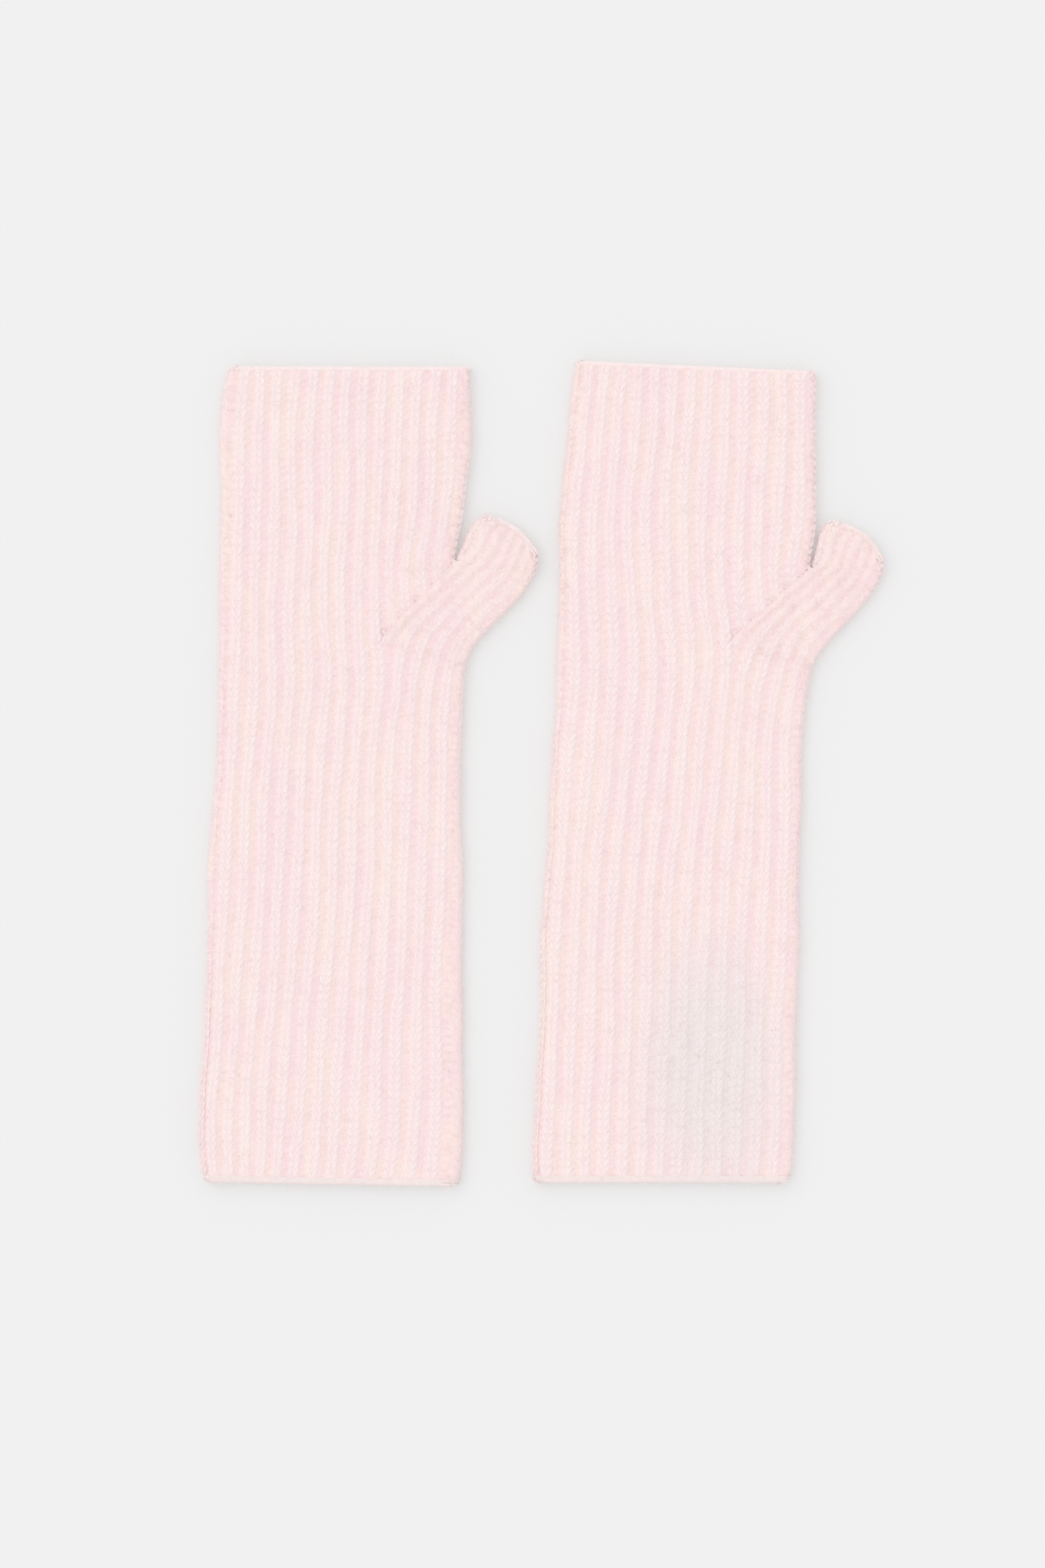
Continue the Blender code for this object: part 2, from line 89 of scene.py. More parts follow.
def addNode(tree, kind, inputs=None, **settings):
    made = tree.nodes.new(kind)
    for name, value in settings.items():
        setattr(made, name, value)
    for socket, value in (inputs or {}).items():
        if isinstance(value, bpy.types.NodeSocket):
            tree.links.new(value, made.inputs[socket])
        else:
            made.inputs[socket].default_value = value
    return made


cloth = {  # millimetres and shares, as in the solids but for what the yarn on the cloth adds
    "underWall": 2.3,
    "slit": 0.5,
    "upperWall": 1.8,
    "armLong": 199.0,
    "handLong": 101.0,
    "ribPitch": 6.8,
    "rowHeight": 2.94,
    "ribHeight": 1.0,  # the yarn laid on the ribs brings them to the solid's height
    "valleyShare": 0.12,  # how far the loose yarn fills the valleys up, as a share of the ribs' height
    "foldFill": 0.3,  # the valleys beside the folds are filled this high, over this many ribs
    "foldFillReach": 0.22,
    "underValley": 0.8,
    "underRib": 0.55,
    "tableGap": 0.12,  # the cloth stays this far above the table
    "mouthLift": 0.6,
    "mouthLiftReach": 12.0,
    "corner": 3.0,
    "cornerShare": 0.9,
    "thumbCorner": 4.2,
    "thumbCornerShare": 0.8,
    "reliefAtSeam": 0.4,  # the hand's new ribs start this low, as a share of their height
    "reliefReach": 22.0,
    "seam": 0.05,
    "overlap": 0.4,
    "handStart": 0.4,  # the hand starts this far above the arm, and more for each rib away from the thumb
    "handClimb": 0.35,
    "edgeInset": 0.55,  # the stitches and fibres at the folds bring the edges out again
}
cloth["middle"] = cloth["underWall"] + cloth["slit"] / 2
cloth["valley"] = cloth["underWall"] + cloth["slit"] + cloth["upperWall"]

bodyRibs = 13  # on the face, between 14 valleys; with the underside and the folds there are 28 all round
thumbRibs = 5
splitRib = 8.5  # the thumb's ribs part from the hand's here
firstThumbRib = 0.5  # the share of an arm's rib that the thumb's first rib grows from
foldRibs = 0.6  # how far past the last valley the outer edge lies, in ribs

# A side fold from the top valley round to the underside: turn is how far round, reach how far out, and level
# the height from the middle, as a share of the half thickness.
fold = columns("turn reach level", [
    (0.00, 0.00, 1.15),
    (0.14, 0.34, 1.21),
    (0.29, 0.70, 1.08),
    (0.42, 0.94, 0.62),
    (0.53, 1.00, -0.05),
    (0.66, 0.90, -0.62),
    (0.80, 0.60, -0.95),
    (0.92, 0.22, -0.92),
    (1.00, 0.00, -0.74),
])

leftMitt = {
    "side": "left",
    "outline": columns("along left first middle last right", [
        (-151.4, -123.9, -122.1, -81.0, -36.3, -29.7),
        (-136.2, -125.4, -123.3, -79.2, -34.8, -28.2),
        (-121.2, -125.2, -123.3, -78.3, -34.5, -27.6),
        (-91.2, -123.6, -121.5, -76.5, -34.8, -28.2),
        (-61.2, -123.0, -120.0, -74.1, -34.2, -28.3),
        (-34.2, -122.4, -118.8, -72.6, -33.3, -28.2),
        (-10.2, -120.8, -117.6, -72.0, -32.7, -28.5),
        (13.8, -119.2, -116.1, -70.5, -32.4, -28.8),
        (37.8, -118.5, -115.2, -68.7, -31.2, -27.8),
        (47.7, -118.5, -114.9, -69.6, -31.8, -27.9),
        (61.8, -118.5, -114.9, -70.2, -33.9, -29.4),
        (78.3, -118.5, -114.3, -69.9, -35.7, -31.0),
        (91.8, -118.2, -113.7, -69.0, -33.0, -28.2),
        (103.8, -118.2, -113.4, -68.7, -31.2, -27.1),
        (121.8, -118.2, -113.4, -68.7, -29.7, -25.2),
        (133.8, -117.6, -112.5, -68.4, -29.1, -24.9),
        (149.1, -115.2, -111.6, -67.2, -28.5, -25.5),
    ]),
    "armTilt": -1.5,
    "handTilt": -0.3,
    "splitAlong": 47.6,
    "armCorner": 3.0,
    "crotch": (-30.9, 78.2),
    "thumbRoot": (-27.8, 39.2),
    "innerRail": [(-28.6, 83.8), (-26.8, 88.8), (-24.0, 92.8), (-20.4, 95.6)],
    "outerRail": [(-25.4, 43.8), (-20.8, 49.7), (-14.4, 56.4), (-6.2, 65.0), (-1.4, 72.8), (0.0, 80.0)],
    "mouthBow": 2.6,
    "swells": columns("across along wide long rise", [
        (-52, 50, 13, 13, 0.8),
        (-96, -62, 15, 26, 0.4),
        (-56, -112, 16, 24, 0.5),
        (-84, 112, 20, 18, 0.4),
        (-106, -92, 12, 7, -0.4),
        (-38, 66, 5, 9, -0.5),
        (-104, 30, 10, 22, 0.3),
        (-64, -20, 9, 30, -0.3),
    ]),
    "wanderStart": 0.6,
}

rightMitt = {
    "side": "right",
    "outline": columns("along left first middle last right", [
        (-150.9, -2.7, -0.6, 46.8, 88.5, 92.7),
        (-136.2, -3.0, -0.9, 47.7, 89.4, 93.9),
        (-121.2, -2.1, 0.0, 48.0, 90.0, 94.2),
        (-91.2, -0.6, 1.5, 49.2, 90.6, 94.5),
        (-61.2, 0.0, 2.4, 49.8, 92.1, 95.4),
        (-34.2, 1.5, 4.2, 51.3, 93.3, 95.7),
        (-10.2, 2.7, 5.7, 54.0, 93.6, 96.1),
        (13.8, 4.8, 7.5, 56.1, 93.6, 96.8),
        (37.8, 5.4, 9.0, 58.5, 96.6, 99.6),
        (47.7, 5.7, 9.0, 58.5, 96.9, 99.9),
        (61.8, 6.3, 9.3, 56.7, 96.3, 99.9),
        (75.6, 6.3, 9.0, 56.1, 95.1, 99.5),
        (88.8, 6.3, 9.0, 55.8, 97.2, 101.1),
        (103.8, 7.8, 10.5, 56.1, 98.7, 101.5),
        (121.8, 9.3, 12.3, 57.6, 99.1, 101.7),
        (133.8, 9.9, 13.2, 58.2, 99.3, 101.7),
        (149.4, 12.0, 15.0, 58.8, 99.0, 101.4),
    ]),
    "armTilt": 0.0,
    "handTilt": -3.8,
    "splitAlong": 47.6,
    "armCorner": 4.6,
    "crotch": (99.6, 75.6),
    "thumbRoot": (99.4, 38.0),
    "innerRail": [(100.6, 81.4), (101.8, 87.4), (104.2, 91.4), (107.4, 93.4)],
    "outerRail": [(102.4, 42.6), (107.8, 49.6), (115.2, 56.8), (121.6, 64.6), (125.0, 71.2), (126.0, 77.6)],
    "mouthBow": 3.2,
    "swells": columns("across along wide long rise", [
        (76, 50, 13, 13, 0.8),
        (54, -76, 16, 24, -0.4),
        (24, -24, 14, 28, 0.4),
        (62, 114, 20, 18, 0.5),
        (80, -118, 14, 16, 0.4),
        (92, 64, 5, 9, -0.5),
        (20, 66, 10, 24, -0.3),
        (38, -122, 10, 16, -0.4),
    ]),
    "wanderStart": 2.1,
}


def outlineAt(mitt, column, along):
    return through(mitt["outline"]["along"], mitt["outline"][column], along)


def onBody(mitt, rib, along):  # where a rib crosses a height of the arm or the hand
    first, middle, last = (outlineAt(mitt, column, along) for column in ("first", "middle", "last"))
    way = rib / bodyRibs
    middleWay = (bodyRibs + 1) / 2 / bodyRibs
    bend = (middle - mix(first, last, middleWay)) / (middleWay * (1 - middleWay))
    return mix(first, last, way) + bend * way * (1 - way)


def splitPoint(mitt):  # the apex, where the thumb's ribs part from the hand's
    return np.array([onBody(mitt, splitRib, mitt["splitAlong"]), mitt["splitAlong"]])


def pastSplit(rib):
    return (rib - splitRib) / (bodyRibs + foldRibs - splitRib)


turning = {  # how the arm's ribs turn into the thumb
    "reach": 16.0,  # millimetres on each side of the line where the thumb begins
    "setsIn": 0.8,  # ribs past the split over which the turn grows
    "atEdge": 0.3,  # the share of the turn that the outer edge takes
}


def ribsTurn(mitt, rib, points, away):
    # The ribs bend into the thumb in a soft curve: away is how far a point is from the line where it begins.
    near = np.clip(turning["reach"] - abs(away), 0, None) ** 2 / (4 * turning["reach"])
    weight = ease((np.asarray(rib, float) - splitRib) / turning["setsIn"]) * near
    lean = [np.interp(rib, mitt["leanRibs"], mitt["leans"][:, k]) for k in range(2)]
    return points + np.stack(lean, axis=-1) * weight[..., None]


def armPlace(mitt, rib, share):  # share 0 at the cast-on, 1 at the line where the thumb begins
    rib = np.asarray(rib, float)
    low = mitt["outline"]["along"][0] + mitt["armTilt"] * (rib / bodyRibs - 0.5)
    apex, root = splitPoint(mitt), np.array(mitt["thumbRoot"])
    past = np.clip(pastSplit(rib), 0, None)
    high = np.where(rib > splitRib, mix(apex[1], root[1], past), mitt["splitAlong"])
    high = high + cloth["overlap"] * ease((rib - splitRib) / 0.5)
    across = np.where(rib > splitRib, mix(apex[0], root[0], past), onBody(mitt, rib, mitt["splitAlong"]))
    shift = across - onBody(mitt, rib, high)
    along = mix(low, high, share)
    points = np.stack([onBody(mitt, rib, along) + shift * share ** 3, along], axis=-1)
    return ribsTurn(mitt, rib, points, high - along)


def handPlace(mitt, rib, share):  # share 0 at the thumb's diagonal, 1 at the bound-off edge
    rib = np.asarray(rib, float)
    high = mitt["outline"]["along"][-1] + mitt["handTilt"] * (rib / bodyRibs - 0.5)
    apex, crotch = splitPoint(mitt), np.array(mitt["crotch"])
    past = np.clip(pastSplit(rib), 0, None)
    atThumb = rib >= splitRib
    level = mitt["splitAlong"] + cloth["handClimb"] * (splitRib - rib)
    start = np.where(atThumb, mix(apex[1], crotch[1], past), level)
    start = start + np.where(atThumb, cloth["seam"], cloth["handStart"])
    across = np.where(atThumb, mix(apex[0], crotch[0], past), onBody(mitt, rib, mitt["splitAlong"]))
    shift = across - onBody(mitt, rib, np.where(atThumb, start, mitt["splitAlong"]))
    along = mix(start, high, share)
    return np.stack([onBody(mitt, rib, along) + shift * (1 - share) ** 2, along], axis=-1)


def rounding(corner, fromEnd):  # how far a rounded corner draws an edge in, this far from the end
    inside = np.clip(corner - fromEnd, 0, corner)
    return corner - math.sqrt(corner ** 2 - inside ** 2)


def bodyRow(mitt, stretch, share):  # one row across the arm or the hand
    onArm = stretch == "arm"
    place = armPlace if onArm else handPlace
    edges = []
    for rib, side, inward in ((-foldRibs, "left", 1), (bodyRibs + foldRibs, "right", -1)):
        along = place(mitt, rib, share)[1]
        toEnd = place(mitt, rib, 0.0 if onArm else 1.0)[1]
        corner = mitt["armCorner"] if onArm and side == "right" else cloth["corner"]
        inset = rounding(corner, abs(toEnd - along)) * cloth["cornerShare"] + cloth["edgeInset"]
        edge = np.array([outlineAt(mitt, side, along) + inward * inset, along])
        if onArm:
            edge = ribsTurn(mitt, rib, edge, mitt["thumbRoot"][1] - along)
        edges.append(edge)

    def relief(rib):  # the hand's new ribs rise slowly out of the seam with the thumb
        if onArm:
            return np.ones(np.shape(rib))
        fromSeam = np.linalg.norm(place(mitt, rib, share) - place(mitt, rib, 0.0), axis=-1)
        grown = mix(cloth["reliefAtSeam"], 1.0, ease(fromSeam / cloth["reliefReach"]))
        return np.where(np.asarray(rib) > splitRib, grown, 1.0)

    return {
        "place": lambda rib: place(mitt, rib, share),
        "left": edges[0],
        "right": edges[1],
        "ribs": bodyRibs,
        "relief": relief,
    }


def thumbRails(mitt):
    right = np.array([mitt["thumbRoot"]] + mitt["outerRail"])
    left = np.array([mitt["crotch"]] + mitt["innerRail"])
    return left, right


def thumbRootShare(mitt):
    rootLength = math.dist(splitPoint(mitt), mitt["crotch"])
    return rootLength / (rootLength + railLength(thumbRails(mitt)[0]))


def bodyRib(rib):  # the arm's rib that a thumb's rib grows from
    return splitRib + np.where(rib < 1, rib * firstThumbRib, rib - firstThumbRib)


def rootLine(mitt, rib):  # where an arm's rib crosses the line at which the thumb begins
    return mix(splitPoint(mitt), np.array(mitt["thumbRoot"]), pastSplit(rib)[..., None])


thumbEdges = {
    "foldAtCrotch": 1.2,  # how wide the inner fold is at the crotch, and both are further on
    "fold": 2.6,
    "foldGrowsOver": 0.25,  # share of the inner side
    "insetGrowsOver": 0.1,  # share of the thumb's length
    "apexGap": 0.005,  # keeps the first row from shrinking to a point
}


def thumbRow(mitt, way):  # one row across the thumb: way 0 at its root, 1 at its mouth
    leftRail, rightRail = thumbRails(mitt)
    rootShare = thumbRootShare(mitt)
    if way < rootShare:
        alongSeam = max(way / rootShare, thumbEdges["apexGap"])
        left = mix(splitPoint(mitt), np.array(mitt["crotch"]), alongSeam)
        leftFold = 0.0
    else:
        share = (way - rootShare) / (1 - rootShare)
        left = alongRail(leftRail, share)
        grown = ease(share / thumbEdges["foldGrowsOver"])
        leftFold = mix(thumbEdges["foldAtCrotch"], thumbEdges["fold"], grown)
    right = alongRail(rightRail, way)
    inward = unit(right - left) * cloth["edgeInset"]
    left = left + inward * ease((way - rootShare) / thumbEdges["insetGrowsOver"])
    right = right - inward
    fromMouth = (1 - way) * railLength(rightRail)
    drawIn = unit(right - left) * rounding(cloth["thumbCorner"], fromMouth) * cloth["thumbCornerShare"]
    left, right = left + drawIn, right - drawIn
    rootAlong = mitt["thumbRoot"][1]
    rootFold = outlineAt(mitt, "right", rootAlong) - outlineAt(mitt, "last", rootAlong)
    rightFold = mix(rootFold, thumbEdges["fold"], ease(way / rootShare))
    length = math.dist(left, right)
    run = (right - left) / length
    bow = np.array([-run[1], run[0]]) * mitt["mouthBow"] * ease(way)

    def place(rib):
        rib = np.asarray(rib, float)
        atRoot = np.where(rib < 1, rib * firstThumbRib, rib - firstThumbRib) / (bodyRibs - splitRib)
        spread = mix(atRoot, rib / thumbRibs, ease(way / rootShare))
        out = mix(leftFold, length - rightFold, spread)[..., None]
        points = left + run * out + bow * np.sin(np.pi * out / length)
        away = np.linalg.norm(points - rootLine(mitt, bodyRib(rib)), axis=-1)
        return ribsTurn(mitt, bodyRib(rib), points, away)

    return {
        "place": place,
        "left": left,
        "right": ribsTurn(mitt, bodyRibs + foldRibs, right, math.dist(right, mitt["thumbRoot"])),
        "ribs": thumbRibs,
        "relief": lambda rib: np.ones(np.shape(rib)),
    }


def readTurns(mitt):  # how far each rib's direction changes at the line where the thumb begins
    ribs = np.array([splitRib, 9, 10, 11, 12, 13, bodyRibs + foldRibs])
    mitt.update(leanRibs=ribs, leans=np.zeros((len(ribs), 2)))
    onThumb = np.where(ribs < 9, (ribs - splitRib) / firstThumbRib, ribs - splitRib + firstThumbRib)
    onThumb = np.minimum(onThumb, thumbRibs)
    justBefore, justAfter = 0.97, 0.12  # shares of the arm and of the thumb
    before = unit(armPlace(mitt, ribs, 1.0) - armPlace(mitt, ribs, justBefore))
    after = unit(thumbRow(mitt, justAfter)["place"](onThumb) - thumbRow(mitt, 0.0)["place"](onThumb))
    kept = np.interp(ribs, [12, bodyRibs + foldRibs], [1.0, turning["atEdge"]])
    mitt["leans"] = (after - before) * kept[:, None]


for mitt in (leftMitt, rightMitt):
    readTurns(mitt)


def riseAt(mitt, places):  # soft swells and creases of the upper layer, and its lift at the open ends
    x, y = places[..., 0], places[..., 1]
    rise = np.zeros(x.shape)
    for across, along, wide, long, height in zip(*mitt["swells"].values()):
        rise += height * np.exp(-(((x - across) / wide) ** 2 + ((y - along) / long) ** 2) / 2)
    for mouth in (mitt["outline"]["along"][0], mitt["outline"]["along"][-1]):
        rise += cloth["mouthLift"] * np.exp(-abs(y - mouth) / cloth["mouthLiftReach"])
    return rise


waves = [(0.26, 3.9, 15.0), (0.22, 6.3, -8.1), (0.14, 2.7, 4.3)]  # size, and length across and along
waveShare = 0.8


def wander(mitt, points):  # the ribs of soft cloth never lie quite straight
    x, y = points[..., 0], points[..., 1]
    shift = 0.0
    for k, (size, across, along) in enumerate(waves):
        shift = shift + size * np.sin(x / across + y / along + (k + 1) * mitt["wanderStart"])
    moved = points.copy()
    moved[..., 0] += shift * waveShare
    return moved


def ribRelief(around):  # 1 on a rib's crest and the valley's share in a valley, rounded in both
    soft = cloth["valleyShare"] ** 2 / (1 - cloth["valleyShare"] ** 2)
    return np.sqrt((np.sin(np.pi * around) ** 2 + soft) / (1 + soft))


def foldCurve(kind, turn):  # how far out or how high a side fold is, part of the way round
    return through(fold["turn"], fold[kind], turn)


def zones(ribs, around):
    # Places round the tube run 0 to ribs over the top, then through the right fold, back under, and through
    # the left fold. This says which are under, in a fold or in the left one, at which rib, and how far round.
    under = (around >= ribs + 1) & (around <= 2 * ribs + 1)
    rightFold = (around > ribs) & (around < ribs + 1)
    leftFold = around > 2 * ribs + 1
    rib = np.clip(np.where(under, 2 * ribs + 1 - around, around), 0, ribs)
    turn = np.where(rightFold, around - ribs, np.where(leftFold, 2 * ribs + 2 - around, 0.0))
    return under, rightFold | leftFold, leftFold, np.where(leftFold, 0, rib), turn


def section(mitt, row, around):
    # The outer face of one row at places round the tube, before its ribs are raised, and the way it faces.
    under, folded, leftFold, rib, turn = zones(row["ribs"], around)
    places = row["place"](rib)
    edge = np.where(leftFold[:, None], row["left"], row["right"])
    outward = np.where(folded[:, None], edge - places, 0.0)
    level = foldCurve("level", turn)
    rise = riseAt(mitt, places)
    half = np.where(level > 0, cloth["valley"] - cloth["middle"] + rise, cloth["middle"])
    height = np.where(folded, cloth["middle"] + half * level, cloth["valley"] + rise)
    height = np.where(under, cloth["underValley"], height)
    flatPoints = places + outward * np.where(folded, foldCurve("reach", turn), 0.0)[:, None]
    points = np.column_stack([flatPoints, height])
    step = 0.02
    ahead, behind = np.clip(turn + step, 0, 1), np.clip(turn - step, 0, 1)
    run = (foldCurve("reach", ahead) - foldCurve("reach", behind)) * np.linalg.norm(outward, axis=1)
    climb = (foldCurve("level", ahead) - foldCurve("level", behind)) * half
    outFacing = unit(np.column_stack([unit(outward) * -climb[:, None], run]))
    facing = np.where(folded[:, None], outFacing, [0.0, 0.0, 1.0])
    facing = np.where(under[:, None], [0.0, 0.0, -1.0], facing)
    return wander(mitt, points), facing


def outerRing(mitt, row, around, roll):  # one row's outer points: ribs and valleys, or a band's plain roll
    ribs = row["ribs"]
    points, facing = section(mitt, row, around)
    under, folded, _, rib, _ = zones(ribs, around)
    if roll is None:
        relief = np.where(under, cloth["underRib"], cloth["ribHeight"]) * ribRelief(around)
        relief = relief * row["relief"](np.clip(around, 0, ribs))
        fromFold = np.minimum(rib, ribs - rib)
        fill = cloth["foldFill"] * np.exp(-(fromFold / cloth["foldFillReach"]) ** 2)
        relief = np.maximum(relief, np.where(under, 0.0, fill))
        atFolds = 0.0
    else:
        relief = np.where(under, bands["underShare"], 1.0) * roll
        atFolds = roll * bands["foldShare"]
    raised = points + facing * np.where(folded, atFolds, relief)[:, None]
    raised[:, 2] = np.maximum(raised[:, 2], cloth["tableGap"])
    return raised


slitEnds = {  # millimetres from the edge to the slit's flat part and to its round end, and the ribs' pitch
    bodyRibs: {"flat": 3.4, "round": 2.3, "pitch": 6.8},
    thumbRibs: {"flat": 2.8, "round": 1.9, "pitch": 4.4},
}


def innerRing(mitt, row, around):  # one row's inner points, round the slit between the two layers
    ribs, slitEnd = row["ribs"], slitEnds[row["ribs"]]
    under, folded, leftFold, rib, turn = zones(ribs, around)
    onLeft = leftFold | (~folded & (rib < ribs / 2))
    valleys = row["place"](np.array([0.0, ribs]))
    insets = [
        (slitEnd["flat"] - math.dist(valleys[0], row["left"])) / slitEnd["pitch"],
        (slitEnd["flat"] - math.dist(valleys[1], row["right"])) / slitEnd["pitch"],
    ]
    fromSide = np.minimum(rib, ribs - rib)
    fromSide = np.where(fromSide < 2, mix(np.where(onLeft, *insets), 2.0, fromSide / 2), fromSide)
    spots = row["place"](np.where(onLeft, fromSide, ribs - fromSide))
    edge = np.where(onLeft[:, None], row["left"], row["right"])
    outShare = np.sin(np.pi * turn) * (1 - slitEnd["round"] / slitEnd["flat"])
    spots = mix(spots, edge, outShare[:, None])
    level = np.where(folded, np.cos(np.pi * turn), np.where(under, -1.0, 1.0))
    inner = np.column_stack([spots, cloth["middle"] + level * cloth["slit"] / 2])
    inner[:, 2] += np.where(inner[:, 2] > cloth["middle"], riseAt(mitt, inner), 0.0)
    return wander(mitt, inner)


def shellRing(mitt, row, around, roll=None):
    return outerRing(mitt, row, around, roll), innerRing(mitt, row, around)


creaseDegrees = 75  # sharper edges are shaded as edges, so thin rims don't darken what is beside them


def clothMesh(name, rings, isCloth, material):  # a closed wall between outer and inner rings, with its rims
    high, wide = len(rings), len(rings[0][0])
    points = np.concatenate([ring[skin] for skin in (0, 1) for ring in rings])

    def index(skin, row, column):
        return (skin * high + row) * wide + column % wide

    cells = {(r, c) for r in range(high - 1) for c in range(wide) if isCloth(r, c)}
    faces = []
    for r, c in sorted(cells):
        corners = [(r, c), (r, c + 1), (r + 1, c + 1), (r + 1, c)]
        faces.append([index(0, *corner) for corner in corners])
        faces.append([index(1, *corner) for corner in reversed(corners)])
        beside = [(r - 1, c), (r, (c + 1) % wide), (r + 1, c), (r, (c - 1) % wide)]
        for k, neighbour in enumerate(beside):
            if neighbour not in cells:
                a, b = corners[k], corners[(k + 1) % 4]
                faces.append([index(0, *b), index(0, *a), index(1, *a), index(1, *b)])
    used = np.unique([corner for face in faces for corner in face])
    renumber = np.zeros(len(points), int)
    renumber[used] = np.arange(len(used))
    mesh = bpy.data.meshes.new(name)
    mesh.from_pydata((points[used] * mm).tolist(), [], [[int(renumber[c]) for c in face] for face in faces])
    mesh.shade_smooth()
    mesh.set_sharp_from_angle(angle=math.radians(creaseDegrees))
    mesh.materials.append(material)
    made = bpy.data.objects.new(name, mesh)
    bpy.context.scene.collection.objects.link(made)
    return made


wool = {
    # pale is painted light, the colour of crests that catch the light; deep is painted shade, the pink that
    # light bouncing between the ribs gives the valleys
    "pale": "#F7EAEB",
    "deep": "#F9DFDF",
    "peach": "#F9E5DE",
    "shadeSpread": 0.12,  # how much the stitches differ between pale and deep
    "patchMm": (6.0, 26.0, 12.0),  # size of the soft peach patches, longest down the ribs
    "patchFrom": 0.42,
    "patchFull": 0.66,
    "mottleMm": 0.8,
    "mottleFrom": 0.3,
    "mottleTo": 0.7,
    "mottleDarker": 0.03,
    "mottleLighter": 0.02,
    "worn": "#EEE4E4",  # the greyish patch low on the right mitt, with its place and size in metres
    "wornCentre": (0.0625, -0.108, 0.006),
    "wornSize": (0.033, 0.056, 1.0),
    "wornFull": 0.3,
    "wornEnd": 1.1,
    "wornStrength": 0.88,
    "fibreMm": 0.22,  # fibres are finer than this in life; drawn as coarse as they show
    "fibreDepth": 0.35,
    "fibreHeight": 0.0002,
    "roughness": 0.94,
    "gloss": 0.2,
    "sheen": 0.25,
    "sheenRoughness": 0.6,
    "sheenTint": "#FFF4F2",
}


def woolMaterial(name, lightness, depth, pale=wool["pale"], deep=wool["deep"]):
    # Brushed wool yarn: a soft matt fibre with a faint halo. depth: how far its colour goes from the pale,
    # painted light, to the deep pink, painted shade.
    material = bpy.data.materials.new(name)
    material.use_nodes = True
    tree = material.node_tree
    shader = tree.nodes["Principled BSDF"]
    place = addNode(tree, "ShaderNodeTexCoord").outputs["Object"]
    patchScale = [1000 / size for size in wool["patchMm"]]
    stretched = addNode(tree, "ShaderNodeVectorMath", {0: place, 1: patchScale}, operation="MULTIPLY")
    patches = addNode(tree, "ShaderNodeTexNoise", {
        "Vector": stretched.outputs[0],
        "Scale": 1.0,
        "Detail": 2.0,
    })
    tint = addNode(tree, "ShaderNodeMapRange", {
        0: patches.outputs[0],
        1: wool["patchFrom"],
        2: wool["patchFull"],
    })
    warm = addNode(tree, "ShaderNodeMix", {
        0: tint.outputs[0],
        6: linear(deep),
        7: linear(wool["peach"]),
    }, data_type="RGBA")
    shade = addNode(tree, "ShaderNodeAttribute", attribute_name="shade")
    blend = addNode(tree, "ShaderNodeMapRange", {
        0: shade.outputs["Fac"],
        3: depth - wool["shadeSpread"],
        4: depth + wool["shadeSpread"],
    })
    body = addNode(tree, "ShaderNodeMix", {
        0: blend.outputs[0],
        6: linear(pale),
        7: warm.outputs[2],
    }, data_type="RGBA")
    fromWorn = addNode(tree, "ShaderNodeVectorMath", {0: place, 1: wool["wornCentre"]}, operation="SUBTRACT")
    shares = addNode(tree, "ShaderNodeVectorMath", {
        0: fromWorn.outputs[0],
        1: wool["wornSize"],
    }, operation="DIVIDE")
    away = addNode(tree, "ShaderNodeVectorMath", {0: shares.outputs[0]}, operation="LENGTH")
    worn = addNode(tree, "ShaderNodeMapRange", {
        0: away.outputs["Value"],
        1: wool["wornFull"],
        2: wool["wornEnd"],
        3: wool["wornStrength"],
        4: 0.0,
    }, interpolation_type="SMOOTHSTEP")
    faded = addNode(tree, "ShaderNodeMix", {
        0: worn.outputs[0],
        6: body.outputs[2],
        7: linear(wool["worn"]),
    }, data_type="RGBA")
    mottleScale = 1000 / wool["mottleMm"]
    mottle = addNode(tree, "ShaderNodeTexNoise", {"Vector": place, "Scale": mottleScale, "Detail": 2.0})
    value = addNode(tree, "ShaderNodeMapRange", {
        0: mottle.outputs[0],
        1: wool["mottleFrom"],
        2: wool["mottleTo"],
        3: lightness - wool["mottleDarker"],
        4: lightness + wool["mottleLighter"],
    })
    level = addNode(tree, "ShaderNodeMix", {
        0: 1.0,
        6: faded.outputs[2],
        7: value.outputs[0],
    }, data_type="RGBA", blend_type="MULTIPLY")
    tree.links.new(level.outputs[2], shader.inputs["Base Color"])
    fibreScale = 1000 / wool["fibreMm"]
    fibres = addNode(tree, "ShaderNodeTexNoise", {"Vector": place, "Scale": fibreScale, "Detail": 3.0})
    bump = addNode(tree, "ShaderNodeBump", {
        "Height": fibres.outputs[0],
        "Strength": wool["fibreDepth"],
        "Distance": wool["fibreHeight"],
    })
    tree.links.new(bump.outputs[0], shader.inputs["Normal"])
    shader.inputs["Roughness"].default_value = wool["roughness"]
    shader.inputs["Sheen Weight"].default_value = wool["sheen"]
    shader.inputs["Sheen Roughness"].default_value = wool["sheenRoughness"]
    shader.inputs["Sheen Tint"].default_value = linear(wool["sheenTint"])
    shader.inputs["Specular IOR Level"].default_value = wool["gloss"]
    return material


shadedClothWool = woolMaterial("brushedWoolClothShaded", 0.965, 0.88)  # painted shade: the deeper pink between the stitches, where the valleys lie in shade
litStitchWool = woolMaterial("brushedWoolStitchLit", 0.98, 0.3)  # painted light: pale crests, a lit colour that picks the ribs out
shadedPurlWool = woolMaterial("brushedWoolPurlShaded", 0.965, 0.88)  # painted shade: keeps the valleys as deep as the cloth under them
castOnWool = woolMaterial("brushedWoolWelt", 0.94, 0.5, "#F3E8E7", "#F2E1DD")  # a slightly darker, greyer first edge
bindOffWool = woolMaterial("brushedWoolBindOff", 0.96, 0.4, "#F9EDEC", "#F7E6E3")  # a pale last edge
fibreWool = woolMaterial("brushedWoolFibre", 1.0, 0.2)  # the palest, a halo on the outline
print("wool materials made")


